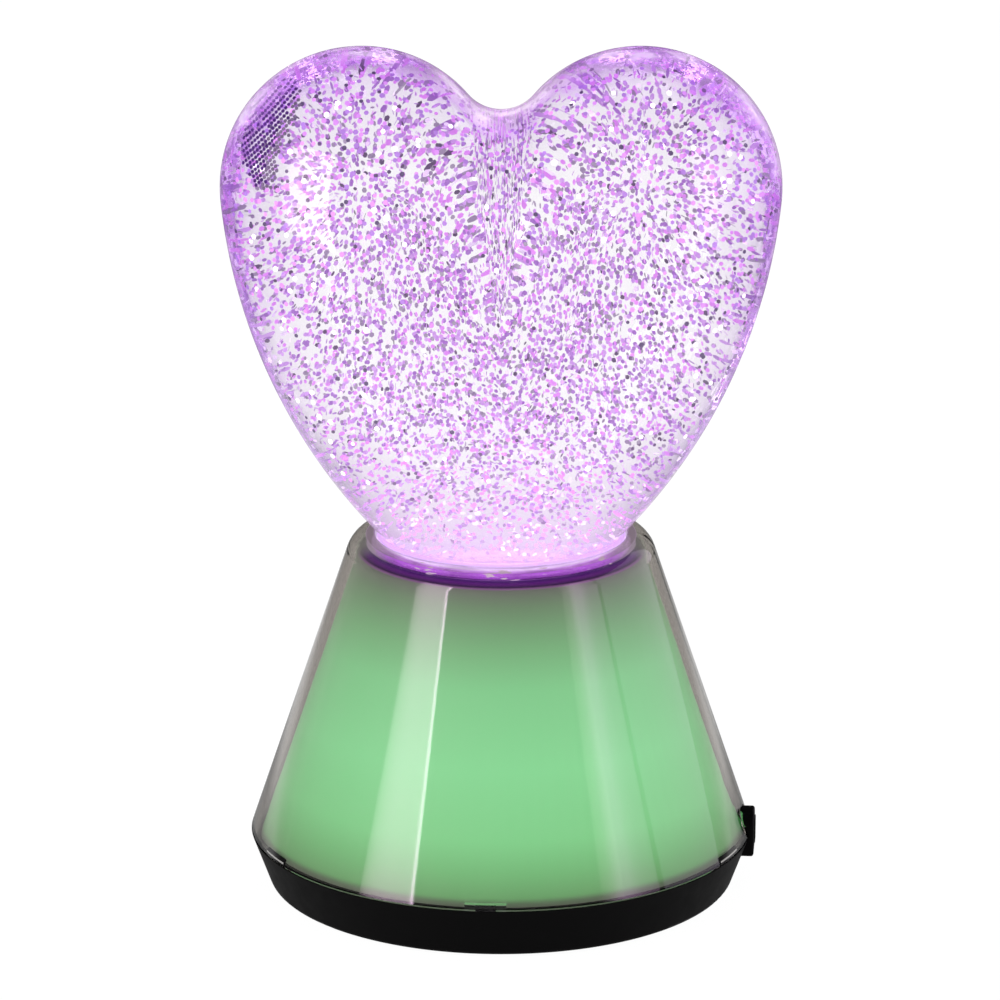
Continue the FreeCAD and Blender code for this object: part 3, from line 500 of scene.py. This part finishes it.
# Painted light: the glow, clearness and colour of the foot, from the flange upwards.
foot_light = add(tree, "ValToRGB", {"Fac": level}, [
    (0.0, (0.10, 0.01, 0.16)), (0.155, (0.35, 0.08, 0.6)), (0.175, (0.55, 0.2, 0.8)),
    (0.19, (0.72, 0.46, 0.86)), (0.222, (0.10, 0.03, 0.24)), (0.23, (0.08, 0.03, 0.11)),
    (0.30, (0.04, 0.02, 0.05)), (0.5, 0.0)])
foot_clear = add(tree, "ValToRGB", {"Fac": level}, [
    (0.0, 0.5), (0.222, 0.3), (0.24, 0.82), (0.36, 0.95), (0.5, 1)])
foot_painted_light_colour = add(tree, "ValToRGB", {"Fac": level}, [
    (0.0, (0.93, 0.80, 0.98)), (0.33, (0.94, 0.82, 0.98)), (0.6, (0.97, 0.92, 0.99)),
    (1.0, (0.985, 0.97, 0.995))])
uneven = add(tree, "TexNoise", {"Vector": add(tree, "TexCoord").outputs["Object"],
                                "Scale": 90.0, "Detail": 3.0})
uneven = add(tree, "MapRange", {"Value": uneven.outputs["Fac"], "From Min": 0.35,
                                "From Max": 0.65, "To Min": -0.07, "To Max": 0.03})
rim = add(tree, "Math", {0: add(tree, "Attribute", attribute_name="rim").outputs["Fac"],
                         1: uneven}, operation="ADD")
# Painted light and shade by the outline, and a painted highlight at the notch.
rim_clear = add(tree, "ValToRGB", {"Fac": rim}, [
    (0.0, 1), (0.85, 1), (0.94, 0.80), (1.0, 0.55)])
rim_light = add(tree, "ValToRGB", {"Fac": rim}, [
    (0.0, 0), (0.82, 0), (0.93, (0.07, 0.03, 0.11)), (1.0, (0.16, 0.09, 0.20))])
notch_light = add(tree, "ValToRGB", {"Fac": rim}, [
    (0.0, 0), (0.7, 0), (0.87, (0.03, 0.025, 0.02)), (0.94, (0.14, 0.12, 0.11)),
    (1.0, (0.29, 0.28, 0.24))])
side_painted_light_and_shade = add(tree, "ValToRGB", {"Fac": rim}, [
    (0.0, 1), (0.5, (0.93, 0.90, 0.94)), (0.70, (0.84, 0.77, 0.89)), (0.86, (0.76, 0.64, 0.85)),
    (0.93, light_of("#cf9cee")), (1.0, light_of("#f2e4fa"))])
lobe_painted_light_and_shade = add(tree, "ValToRGB", {"Fac": rim}, [
    (0.0, 1), (0.25, (0.93, 0.91, 0.95)), (0.5, (0.84, 0.79, 0.88)), (0.76, (0.80, 0.71, 0.88)),
    (0.88, light_of("#cb98ec")), (0.96, light_of("#dab0f0")),
    (1.0, light_of("#f0e0fa"))])
print("foot light between", foot_low, "and", foot_high, "m")

# %% Outside of the globe
on_lobes = add(tree, "MapRange", {"Value": place["Z"], "From Min": 150 * MM,
                                  "From Max": 190 * MM})
off_middle = add(tree, "Math", {0: place["X"]}, operation="ABSOLUTE")
near_middle = add(tree, "MapRange", {"Value": off_middle, "From Min": 20 * MM,
                                     "From Max": 5 * MM})
at_notch = add(tree, "Math", {0: near_middle, 1: on_lobes}, operation="MULTIPLY")
light = add(tree, "Mix", {"Factor": 1.0, "A": foot_light, "B": rim_light}, data_type="RGBA",
            blend_type="ADD").outputs[2]
light = add(tree, "Mix", {"Factor": at_notch, "A": light, "B": notch_light}, data_type="RGBA",
            blend_type="ADD").outputs[2]
clear = add(tree, "Math", {0: foot_clear, 1: rim_clear}, operation="MULTIPLY")
# The skin's colour is painted light and shade: grey-violet towards the rim, pale violet on it.
tint = add(tree, "Mix", {"Factor": on_lobes, "A": side_painted_light_and_shade, "B": lobe_painted_light_and_shade},
           data_type="RGBA").outputs[2]
tint = add(tree, "Mix", {"Factor": 1.0, "A": foot_painted_light_colour, "B": tint}, data_type="RGBA",
           blend_type="MULTIPLY").outputs[2]
skin = add(tree, "BsdfPrincipled", {
    "Base Color": tint, "Roughness": 0.0, "IOR": acrylic_ior, "Transmission Weight": clear,
    "Emission Color": light, "Emission Strength": 1.0})
surface = open_to_lamps(tree, skin, (0.93, 0.90, 0.96))
add(tree, "OutputMaterial", {"Surface": surface})
print("nodes in polished_acrylic:", len(tree.nodes))

# %% [markdown]
# Both surfaces come from the same formula, the inner one with the wall as inset. The outer one
# ends in the neck and flange that stand in the base, and the inner one in the bore, down to the
# plug that closes it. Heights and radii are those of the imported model.

# %% Globe and liquid
columns, rows = 320, 150
flange_radius, neck_radius, neck_bore = 33.85, 28.95, 26.45
neck_bottom, flange_bottom, flange_top, bore_top = 82.55, 96.25, 98.85, 97.55
edge = 0.3
skin_rows, skin_top = heart_rows(0, flange_top, rows, columns)
foot = ring_rows([(neck_bore, neck_bottom), (neck_radius - edge, neck_bottom),
                  (neck_radius, neck_bottom + edge), (neck_radius, flange_bottom),
                  (flange_radius - edge, flange_bottom), (flange_radius, flange_bottom + edge),
                  (flange_radius, flange_top - edge), (flange_radius - edge, flange_top)],
                 columns)
points, faces = capped_grid(np.concatenate([foot, skin_rows]), np.array([0, 0, neck_bottom]),
                            skin_top)
globe = new_piece("globe_skin", points, faces, polished_acrylic, "lamp", 35)
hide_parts("heart_globe")

rim_start = 0.60
rim_bottom, rim_fade = 102, 20
outline_share, _ = shares_of(points, 0)
rim_share = np.clip((outline_share - rim_start) / (1 - rim_start), 0, 1)
rim_share *= np.clip((points[:, 2] - rim_bottom) / rim_fade, 0, 1)
rim = globe.data.attributes.new("rim", "FLOAT", "POINT")
rim.data.foreach_set("value", rim_share.astype(np.float32))

plug_top, spigot_bore, plug_floor = 87.1, 22.7, 83.6
gap = 0.05
fill, fill_top = heart_rows(wall, bore_top + gap, rows, columns)
bore = ring_rows([(spigot_bore, plug_floor), (spigot_bore, plug_top), (neck_bore - gap, plug_top),
                  (neck_bore - gap, bore_top)], columns)
points, faces = capped_grid(np.concatenate([bore, fill]), np.array([0, 0, plug_floor]), fill_top)
liquid = new_piece("liquid_body", points, faces, clear_liquid, "lamp", 35)
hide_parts("liquid_fill")

# %% [markdown]
# The glitter is film, dyed or metal-coated and cut into hexagons a little over a millimetre
# across. Each flake is a thin closed hexagon. One function makes a whole cloud of them as
# arrays, each with its own place, tilt and turn. Flakes lie along the liquid's flow, and the
# globe's curve draws them out to the eye, so each is made a little longer that way.


# %% Flakes of film
def flake_cloud(places, tilts, spins, sizes, stretch=0):
    """Hexagon corners and faces for flakes at places, square to their tilts.

    A flake's corners are place + size (cos a U + sin a W) at six angles a, on two levels. Each
    corner c then moves by (c . s) s along the flake's stretch s.
    """
    thickness = 0.08
    tilts = tilts / np.linalg.norm(tilts, axis=1, keepdims=True)
    helper = np.where(np.abs(tilts[:, :1]) < 0.7, [[1.0, 0, 0]], [[0, 1.0, 0]])
    u = np.cross(tilts, helper)
    u /= np.linalg.norm(u, axis=1, keepdims=True)
    w = np.cross(tilts, u)
    angle = spins[:, None] + np.arange(6) * np.pi / 3
    rim = (np.cos(angle)[..., None] * u[:, None] + np.sin(angle)[..., None] * w[:, None])
    rim *= sizes[:, None, None] / 2
    stretch = np.broadcast_to(stretch, places.shape)[:, None]
    rim += (rim * stretch).sum(-1, keepdims=True) * stretch
    lift = tilts[:, None] * thickness / 2
    points = np.concatenate([places[:, None] + rim + lift, places[:, None] + rim - lift], 1)
    first = np.arange(len(places))[:, None] * 12
    top = first + np.arange(6)
    bottom = first + 11 - np.arange(6)
    a, b = np.arange(6), np.roll(np.arange(6), -1)
    sides = (first[:, :, None] + np.stack([a + 6, b + 6, b, a], -1)).reshape(-1, 4)
    return points.reshape(-1, 3), [np.concatenate([top, bottom]), sides]


def film_finish(name, colour, metal, rough, glow):
    """Coloured film: partly metallic, with painted light through it, most where the lamp below is
    near.

    Going up, each height has a share of painted glow in the film's colour and one of the lamp's
    painted violet light.
    """
    finish, tree = new_finish(name)
    base = np.array(light_of(colour))
    lamp_light = np.array([0.75, 0.38, 0.95])
    level = add(tree, "MapRange", {"Value": place_of(tree)["Z"], "From Min": 85 * MM,
                                   "From Max": 185 * MM})
    shares = ((0.0, 4.0, 0.50), (0.15, 3.0, 0.38), (0.30, 1.8, 0.14), (0.5, 1.2, 0.02),
              (1.0, 1.0, 0.0))
    # Painted light: the film's glow and the lamp's violet light, most low down.
    light = add(tree, "ValToRGB", {"Fac": level}, [
        (at, base * glow * own + lamp_light * lent) for at, own, lent in shares])
    shader = add(tree, "BsdfPrincipled", {
        "Base Color": base, "Metallic": metal, "Roughness": rough,
        "Emission Color": light, "Emission Strength": 1.0})
    add(tree, "OutputMaterial", {"Surface": shader})
    return finish


def flow_directions(places):
    """Unit directions in the (x, z) plane along which the liquid has drawn the flakes.

    Near the notch they fan out from it, and elsewhere they point away from the lobe's middle;
    the share of the fan falls off by half every 20 mm.
    """
    half_share = 20
    flat = places * np.array([1, 0, 1])
    fan = flat - np.array([0, 0, notch[1] - notch_radius])
    distance = np.linalg.norm(fan, axis=1, keepdims=True)
    spread = flat - np.stack([np.sign(places[:, 0]) * lobe[0], 0 * places[:, 0],
                              np.full(len(places), lobe[1])], -1)
    spread /= np.linalg.norm(spread, axis=1, keepdims=True)
    share = 0.5 ** (np.hypot(0.6 * (distance - half_share), flat[:, :1]) / half_share)
    flow = share * fan / distance + (1 - share) * spread
    return flow / np.linalg.norm(flow, axis=1, keepdims=True)


# %% [markdown]
# Most of the film is dyed in pale violets and pinks. Silver and grey flakes mirror the room, and
# the few dark ones are the grains that catch the eye. The flakes are a little closer together
# in the middle and low down. Above the foot the flow turns them along itself and edge on.

# %% Loose flakes
films = {
    "lilac": (film_finish("lilac_film", "#cfa4e2", 0.3, 0.3, 0.20), 4600),
    "violet": (film_finish("violet_film", "#aa7cc6", 0.3, 0.3, 0.16), 3000),
    "pink": (film_finish("pink_film", "#e094ea", 0.3, 0.3, 0.25), 2900),
    "silver": (film_finish("silver_film", "#f6f0fa", 0.8, 0.2, 0.35), 1400),
    "grey": (film_finish("grey_film", "#aaa0b2", 0.5, 0.35, 0.08), 2300),
    "dark": (film_finish("dark_violet_film", "#74667e", 0.4, 0.35, 0.0), 480),
}
low, high = np.array([-75, -44, 92.0]), np.array([75, 44, 232.0])
wall_gap = 0.9
crowded_below, crowded_share = 150, 0.92
flow_start, flow_rise, most_flow = 115, 40, 0.8
draw = np.random.default_rng(11)
for name, (finish, count) in films.items():
    trial = low + (high - low) * draw.random((count * 4, 3))
    crowd = 0.68 + 0.20 * np.exp(-(trial[:, 0] / 30) ** 2)
    crowd = np.where(trial[:, 2] < crowded_below, crowded_share, crowd)
    kept = is_inside(trial, wall + wall_gap) & (draw.random(len(trial)) < crowd)
    places = trial[kept][:count]
    tilts = draw.normal(size=(len(places), 3))
    flow = flow_directions(places)
    bias = most_flow * np.clip((places[:, 2] - flow_start) / flow_rise, 0, 1)[:, None]
    tilts -= bias * (tilts * flow).sum(1, keepdims=True) * flow
    tilts[:, 1] *= 1 - 0.3 * bias[:, 0]
    spins = draw.random(len(places)) * 2 * np.pi
    sizes = 1.02 + 0.26 * draw.random(len(places))
    points, faces = flake_cloud(places, tilts, spins, sizes, 0.40 * flow * bias)
    cloud = new_piece("glitter_" + name, points, faces, finish, "lamp")
    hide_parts("liquid_fill")


# %% [markdown]
# Some flakes stick to the wall. At the upper left they have settled side by side, as coins do
# on a wet table, in a honeycomb; single ones are all over the front. Their places come from the
# same formula as the wall, and their tilts from its slopes.

# %% Flakes that stick to the wall
def front_wall(x, z, inset):
    """Points on the front of the heart's surface above the (x, z) plane.

    With u the share of reach that is left, the formula of the surface is a quadratic in the
    root of the share of depth that is left.
    """
    s = np.hypot(x, z - heart_middle) / reach_of(np.arctan2(x, z - heart_middle), inset)
    u = np.maximum(1 - s, 0)
    root = np.sqrt(fullness ** 2 * u - u + 1) - fullness * np.sqrt(u)
    return np.stack([x, -(half_depth - inset) * (1 - root ** 2), z], -1)


def front_normals(points, inset):
    """Outward normals of the front of the heart's surface, from its slopes in x and z."""
    step = 0.05
    x, z = points[:, 0], points[:, 2]
    along_x = front_wall(x + step, z, inset) - front_wall(x - step, z, inset)
    along_z = front_wall(x, z + step, inset) - front_wall(x, z - step, inset)
    return np.cross(along_x, along_z)


def stuck_flakes(name, x, z, inset, sizes, lean, finish):
    """Flakes on the front wall above the points (x, z); lean turns them to the front."""
    places = front_wall(x, z, inset)
    normals = front_normals(places, inset)
    normals /= np.linalg.norm(normals, axis=1, keepdims=True)
    normals += np.array([0, -lean, 0]) + 0.1 * draw.normal(size=normals.shape)
    spins = draw.random(len(places)) * 2 * np.pi
    points, faces = flake_cloud(places, normals, spins, sizes)
    cloud = new_piece(name, points, faces, finish, "lamp")
    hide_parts("liquid_fill")


# %% [markdown]
# The honeycomb is a grid of rows a flake apart, every second row moved by half a flake, and
# turned to lie along the lobe. What is kept of it lies between two curves about the lobe's
# middle. Along the patch, a share goes from -1 at one end to 1 at the other: the outer curve
# bends in towards the ends, and the patch is widest in its middle.

# %% Honeycomb patch
stuck_inset = wall + 0.3
patch_middle = (-63.5, 215.5)
pitch, row_pitch = 1.06, 1.06 * 0.87
slant = math.radians(47)
row, column = np.meshgrid(np.arange(40), np.arange(40), indexing="ij")
along, across = (column + row % 2 / 2 - 20) * pitch, (row - 20) * row_pitch
grid_x = patch_middle[0] + along * math.cos(slant) + across * math.sin(slant)
grid_z = patch_middle[1] + along * math.sin(slant) - across * math.cos(slant)
out_x, out_z = -lobe[0] - grid_x, grid_z - lobe[1]
out = np.hypot(out_x, out_z)
patch_turn, patch_half = 37, 27
turn_share = (np.degrees(np.arctan2(out_z, out_x)) - patch_turn) / patch_half
outer_edge = 34.6 - turn_share ** 2 - 7.5 * np.minimum(turn_share, 0) ** 2
breadth = (10.4 - 2.2 * turn_share) * np.sqrt(np.maximum(1 - turn_share ** 2, 0))
inner_edge = outer_edge - breadth
loose = draw.normal(scale=0.7, size=out.shape)
missing, grey_band = 0.05, 2.6
kept = (out + loose < outer_edge) & (out + loose > inner_edge) & (np.abs(turn_share) < 1)
kept &= draw.random(out.shape) > missing
inner_side = kept & (out < inner_edge + grey_band + loose)
for name, chosen, colour in (("violet", kept & ~inner_side, "#430f68"),
                             ("grey", inner_side, "#7a6c84")):
    stuck_flakes("patch_" + name, grid_x[chosen], grid_z[chosen], stuck_inset,
                 np.full(int(chosen.sum()), 1.10), 0.7,
                 film_finish("stuck_" + name + "_film", colour, 0.5, 0.35, 0.1))
print("patch:", int(kept.sum()), "flakes")

# %% [markdown]
# The single flakes are drawn at random over the front, more of them towards the outline, where
# the wall turns away and they stand close together to the eye. The bright ones are those that
# throw the lamp's light straight back, and that glint is painted on them as a glow.

# %% Single flakes on the wall
# The bright spots' glow is a painted glint; the others' glow is painted light through the film.
for name, count, colour, glow, low, size, edge in (
        ("dark_spots", 150, "#66567a", 0.0, 130, 1.2, 0.97),
        ("pink_spots", 420, "#e29af2", 0.3, 165, 1.3, 0.97),
        ("violet_spots", 420, "#b988dd", 0.2, 165, 1.3, 0.97),
        ("bright_spots", 110, "#fff4ff", 1.2, 120, 1.4, 0.92)):
    spot_x, spot_z = draw.uniform(-72, 72, 9 * count), draw.uniform(low, 230, 9 * count)
    share = np.hypot(spot_x, spot_z - heart_middle)
    share /= reach_of(np.arctan2(spot_x, spot_z - heart_middle), stuck_inset)
    wanted = (share < edge) & (share ** 3 > 0.8 * draw.random(9 * count))
    spot_x, spot_z = spot_x[wanted][:count], spot_z[wanted][:count]
    stuck_flakes("glitter_" + name, spot_x, spot_z, stuck_inset + 0.2,
                 size + 0.15 * draw.normal(size=len(spot_x)), 0.5,
                 film_finish(name + "_film", colour, 0.3, 0.3, glow))

# %% [markdown]
# The base is a smoked acrylic cone over a frosted one. Smoked plastic is clear plastic with a
# little dark dye. Here the surface is clear glass and the dye is an absorbing volume, so a long
# way through the wall is darker than a short one, and the cone's edges darken by themselves.
#
# The turned-down lip stands against the glowing flange. Its light is drawn on it as a glow that
# follows the height: pink on the side of the globe, violet on the outside, with glints from a
# flattened noise, and grey at the left and right, where the heart doesn't hide the sky.

# %% Light on the lip
smoked_acrylic, tree = new_finish("smoked_acrylic")
place = place_of(tree)
radius = radius_of(tree, place)
lip_inner, lip_outer, lip_end = 34.6 * MM, 35.9 * MM, 36.4 * MM
lip_bottom, lip_top = 95.65 * MM, 98.9 * MM
lip_level = add(tree, "MapRange", {"Value": place["Z"], "From Min": lip_bottom,
                                   "From Max": lip_top})
inner_light = add(tree, "ValToRGB", {"Fac": lip_level}, [
    (0.0, (0.75, 0.30, 1.15)), (0.12, (1.0, 0.50, 1.55)), (0.25, (1.25, 0.85, 1.65)),
    (0.34, (1.4, 1.10, 1.75)), (0.45, (1.08, 0.75, 1.45)), (0.65, (0.85, 0.58, 1.10)),
    (1.0, (0.80, 0.60, 1.0))])
outer_light = add(tree, "ValToRGB", {"Fac": lip_level}, [
    (0.0, (0.04, 0.003, 0.10)), (0.05, (0.10, 0.012, 0.22)), (0.09, (0.27, 0.04, 0.50)),
    (0.13, (0.38, 0.055, 0.70)), (0.24, (0.42, 0.055, 0.78)), (0.29, (0.60, 0.10, 1.05)),
    (0.36, (0.55, 0.085, 1.0)), (0.5, (0.50, 0.08, 0.92)), (1.0, (0.50, 0.22, 0.78))])
on_outer = add(tree, "MapRange", {"Value": radius, "From Min": lip_inner, "From Max": lip_outer})
lip_light = add(tree, "Mix", {"Factor": on_outer, "A": inner_light,
                              "B": outer_light}, data_type="RGBA").outputs[2]
flattening = 7.0
tall_z = add(tree, "Math", {0: place["Z"], 1: flattening}, operation="MULTIPLY")
glint_place = add(tree, "CombineXYZ", {"X": place["X"], "Y": place["Y"], "Z": tall_z})
glints = add(tree, "TexNoise", {"Vector": glint_place, "Scale": 130.0,
                                "Detail": 4.0}).outputs["Fac"]
wavering = add(tree, "MapRange", {"Value": glints, "From Min": 0.38, "From Max": 0.60,
                                  "To Min": 0.9, "To Max": 1.35})
lip_light = add(tree, "Mix", {"Factor": 1.0, "A": lip_light, "B": wavering},
                data_type="RGBA", blend_type="MULTIPLY").outputs[2]
bright = add(tree, "MapRange", {"Value": glints, "From Min": 0.62, "From Max": 0.66})
lip_light = add(tree, "Mix", {"Factor": bright, "A": lip_light,
                              "B": (1.0, 0.8, 1.0)}, data_type="RGBA").outputs[2]
depth = add(tree, "Math", {0: place["Y"]}, operation="ABSOLUTE")
behind_heart = add(tree, "MapRange", {"Value": depth, "From Min": 10 * MM,
                                      "From Max": 25 * MM}, interpolation_type="SMOOTHSTEP")
lip_light = add(tree, "Mix", {"Factor": behind_heart, "A": (0.60, 0.48, 0.66),
                              "B": lip_light}, data_type="RGBA").outputs[2]
lit_lip = add(tree, "Emission", {"Color": lip_light, "Strength": 1.0})
print("lip between", lip_bottom, "and", lip_top, "m")

# %% Smoked cone
near_axis = add(tree, "Math", {0: radius, 1: lip_end}, operation="LESS_THAN")
under_top = add(tree, "Math", {0: place["Z"], 1: lip_top}, operation="LESS_THAN")
on_lip = add(tree, "Math", {0: near_axis, 1: under_top}, operation="MULTIPLY")
glow_share = 0.9
lip_share = add(tree, "Math", {0: on_lip, 1: glow_share}, operation="MULTIPLY")
glass = add(tree, "BsdfGlass", {"Color": (1, 1, 1), "Roughness": 0.0, "IOR": acrylic_ior})
smoked = open_to_lamps(tree, glass, light_of("#dddadd"))
surface = add(tree, "MixShader", {"Fac": lip_share, 1: smoked, 2: lit_lip})
dye = add(tree, "VolumeAbsorption", {"Color": (0.15, 0.08, 0.0), "Density": 198.0})
add(tree, "OutputMaterial", {"Surface": surface, "Volume": dye})
dress(smoked_acrylic, "outer_shell")

# %% [markdown]
# The frosted cone is milky polystyrene, moulded with a matt skin, with six green lights behind it.
# It scatters the light of the room, and the light of those lights is painted on it as a glow, most
# a little below the middle, where the lights are. Its flat top has the globe's violet light
# painted on it, as a dark collar of painted shade with two thin bright rings, and it is brightest
# under the globe's flange.

# %% Frosted cone
milky_polystyrene, tree = new_finish("milky_polystyrene")
place = place_of(tree)
cone_bottom, cone_top = 14.75 * MM, 95.25 * MM
level = add(tree, "MapRange", {"Value": place["Z"], "From Min": cone_bottom,
                               "From Max": cone_top})
# Painted glow of the green lights behind the cone.
cone_light = add(tree, "ValToRGB", {"Fac": level}, [
    (0.0, (0.01, 0.05, 0.01)), (0.012, (0.02, 0.12, 0.025)), (0.028, (0.08, 0.43, 0.10)),
    (0.10, (0.125, 0.64, 0.18)), (0.20, (0.20, 0.88, 0.30)), (0.42, (0.24, 0.98, 0.375)),
    (0.67, (0.205, 0.83, 0.315)), (0.80, (0.145, 0.56, 0.20)), (0.93, (0.085, 0.25, 0.10)),
    (0.984, (0.06, 0.085, 0.07))])
# Painted violet light and shade on the collar, brightest under the flange.
collar_light = add(tree, "ValToRGB", {"Fac": level}, [
    (0.980, (0.06, 0.085, 0.07)), (0.982, (0.24, 0.07, 0.30)), (0.9848, (0.22, 0.05, 0.28)),
    (0.9865, (0.02, 0.0, 0.04)), (0.990, (0.02, 0.0, 0.05)), (0.9935, (0.13, 0.01, 0.23)),
    (0.9965, (0.11, 0.0, 0.22)), (0.9985, (0.03, 0.0, 0.09)), (1.0, (0.04, 0.0, 0.13))])
flange_edge = 34.6 * MM
under_flange = add(tree, "Math", {0: radius_of(tree, place), 1: flange_edge},
                   operation="LESS_THAN")
collar_light = add(tree, "Mix", {"Factor": under_flange, "A": collar_light,
                                 "B": (0.5, 0.16, 0.75)}, data_type="RGBA").outputs[2]
depth = add(tree, "Math", {0: place["Y"]}, operation="ABSOLUTE")
behind_heart = add(tree, "MapRange", {"Value": depth, "From Min": 2 * MM,
                                      "From Max": 15 * MM}, interpolation_type="SMOOTHSTEP")
above_cone = add(tree, "Math", {0: level, 1: 0.981}, operation="GREATER_THAN")
collar_share = add(tree, "Math", {0: above_cone, 1: behind_heart}, operation="MULTIPLY")
glow = add(tree, "Mix", {"Factor": collar_share, "A": cone_light, "B": collar_light},
           data_type="RGBA").outputs[2]
# The collar's dark colour is painted shade.
milk, collar_painted_shade = light_of("#a8a6a4"), light_of("#241030")
milk_and_painted_collar_shade = add(tree, "ValToRGB", {"Fac": level}, [
    (0.0, milk), (0.983, milk), (0.986, collar_painted_shade), (1.0, collar_painted_shade)])
base = add(tree, "Mix", {"Factor": collar_share, "A": milk, "B": milk_and_painted_collar_shade},
           data_type="RGBA").outputs[2]
coat = add(tree, "Math", {0: 1.0, 1: collar_share}, operation="SUBTRACT")
shader = add(tree, "BsdfPrincipled", {
    "Base Color": base, "Roughness": 0.6, "Emission Color": glow, "Emission Strength": 1.0,
    "Coat Weight": coat, "Coat Roughness": 0.35})
add(tree, "OutputMaterial", {"Surface": shader})
dress(milky_polystyrene, "diffuser")


# %% [markdown]
# The rest is moulded, pressed and bought parts, most of them inside. No such surface is quite
# even: a moulded one has the fine grain of its mould, a plated one is a little cloudy. One
# function makes them all: a fine noise is the grain, as bump, and a coarser one shifts colour
# and roughness by a few hundredths. Sizes are in millimetres.

# %% Finish of moulded, pressed and bought parts
def even_finish(name, colour, rough, metal=0.0, grain=0.1, grain_size=0.5, cloud_size=4.0,
                glow=None, glow_strength=0.0, shine=0.5):
    """Finish with fine grain, and with colour and roughness that waver a little."""
    finish, tree = new_finish(name)
    place = add(tree, "TexCoord").outputs["Object"]
    fine = add(tree, "TexNoise", {"Vector": place, "Scale": 1 / (grain_size * MM), "Detail": 2.0})
    bump = add(tree, "Bump", {"Height": fine.outputs["Fac"], "Strength": grain,
                              "Distance": 0.1 * MM})
    cloud = add(tree, "TexNoise", {"Vector": place, "Scale": 1 / (cloud_size * MM),
                                   "Detail": 3.0}).outputs["Fac"]
    base = np.array(light_of(colour))
    tone = add(tree, "ValToRGB", {"Fac": cloud}, [
        (0.3, base * 0.9), (0.7, (base * 1.06).clip(0, 1))])
    gloss = add(tree, "MapRange", {"Value": cloud, "From Min": 0.3, "From Max": 0.7,
                                   "To Min": rough - 0.04, "To Max": rough + 0.04})
    sockets = {"Base Color": tone, "Roughness": gloss, "Metallic": metal,
               "Specular IOR Level": shine, "Normal": bump.outputs["Normal"]}
    if glow:
        sockets["Emission Color"] = light_of(glow)
        sockets["Emission Strength"] = glow_strength
    shader = add(tree, "BsdfPrincipled", sockets)
    add(tree, "OutputMaterial", {"Surface": shader})
    return finish


def numbered(name, count):
    """Names of nodes that differ by a number."""
    return [f"{name}_{i}" for i in range(1, count + 1)]


# %% Housings, seat and plug
# ABS moulded in a spark-eroded tool: nearly black, with a dull, fine grain and little shine.
dress(even_finish("satin_black_abs", "#040404", 0.5, grain=0.25, grain_size=0.4, shine=0.09),
      "base_pan", "battery_box", "battery_door", "switch_housing", "switch_button")
# Polystyrene with a milky pigment, lit from inside the seat: its violet colour and glow are
# painted light.
dress(even_finish("milky_polystyrene_seat", "#5a3a78", 0.5, glow="#a850dc", glow_strength=0.9),
      "globe_seat")
# Acrylic right above the lamps: their light is painted on it, so bright that its own colour hardly
# counts.
dress(even_finish("lit_acrylic", "#f4ecf8", 0.4, glow="#f6dcff", glow_strength=2.2), "globe_plug")
# Moulded silicone rubber: pale, soft to the light, never glossy.
dress(even_finish("silicone_rubber", "#d8d4dc", 0.6, grain=0.2), "globe_seal")

# %% Stirrer and motor
# Steel rod ground to size: bright, with fine marks from the wheel.
dress(even_finish("ground_steel", "#b9bcc0", 0.3, metal=1.0, grain_size=0.3), "stirrer_pin",
      "rotor_shaft")
# Acetal as it comes from the mould: a waxy white.
dress(even_finish("white_acetal", "#e9e6ec", 0.45, grain=0.2), "pin_cap", "stirrer",
      "magnet_holder", "light_deck")
# Nickel plate on a magnet: the brightest metal here.
dress(even_finish("nickel_plate", "#c9cacd", 0.2, metal=1.0, grain=0.05),
      *numbered("stirrer_magnet", 2), *numbered("rotor_magnet", 2))
# Tinned sheet steel, drawn into a can: bright but cloudy.
dress(even_finish("tinned_sheet_steel", "#b4b6b9", 0.35, metal=1.0, cloud_size=2.5), "motor")

# %% Boards, cells, feet and screws
# Solder mask, a smooth paint over the glass cloth of the board, whose weave shows as grain.
dress(even_finish("white_solder_mask", "#dfe6df", 0.35, grain=0.15, grain_size=0.8),
      "lamp_board", "control_board")
# Clear epoxy over a lit chip, violet for the globe and green for the cone.
dress(even_finish("violet_epoxy", "#f4f0fa", 0.4, glow="#b07cff", glow_strength=6.0),
      *numbered("lamp_led", 6))
dress(even_finish("green_epoxy", "#f0faf0", 0.4, glow="#7cff90", glow_strength=6.0),
      *numbered("cone_led", 6))
# Rolled spring steel with a thin nickel plate.
dress(even_finish("nickel_spring_steel", "#c1bfb8", 0.3, metal=1.0), "contact_left",
      "contact_right")
# Cells in a plain shrunk film: dark grey, glossy.
dress(even_finish("shrunk_film", "#3a3c40", 0.3, metal=0.3, cloud_size=8.0), *numbered("cell", 3))
# Natural rubber feet: black, rough and dry.
dress(even_finish("natural_rubber", "#151515", 0.8, grain=0.4, grain_size=0.3),
      *numbered("foot", 4))
# Steel screws in zinc plate: a slightly blue, cloudy grey.
dress(even_finish("zinc_plated_steel", "#aeb2b6", 0.35, metal=1.0, cloud_size=1.5),
      *numbered("base_screw", 3), *numbered("deck_screw", 3), *numbered("motor_screw", 2))

# %% Finish
bpy.context.scene.view_settings.view_transform = "Standard"
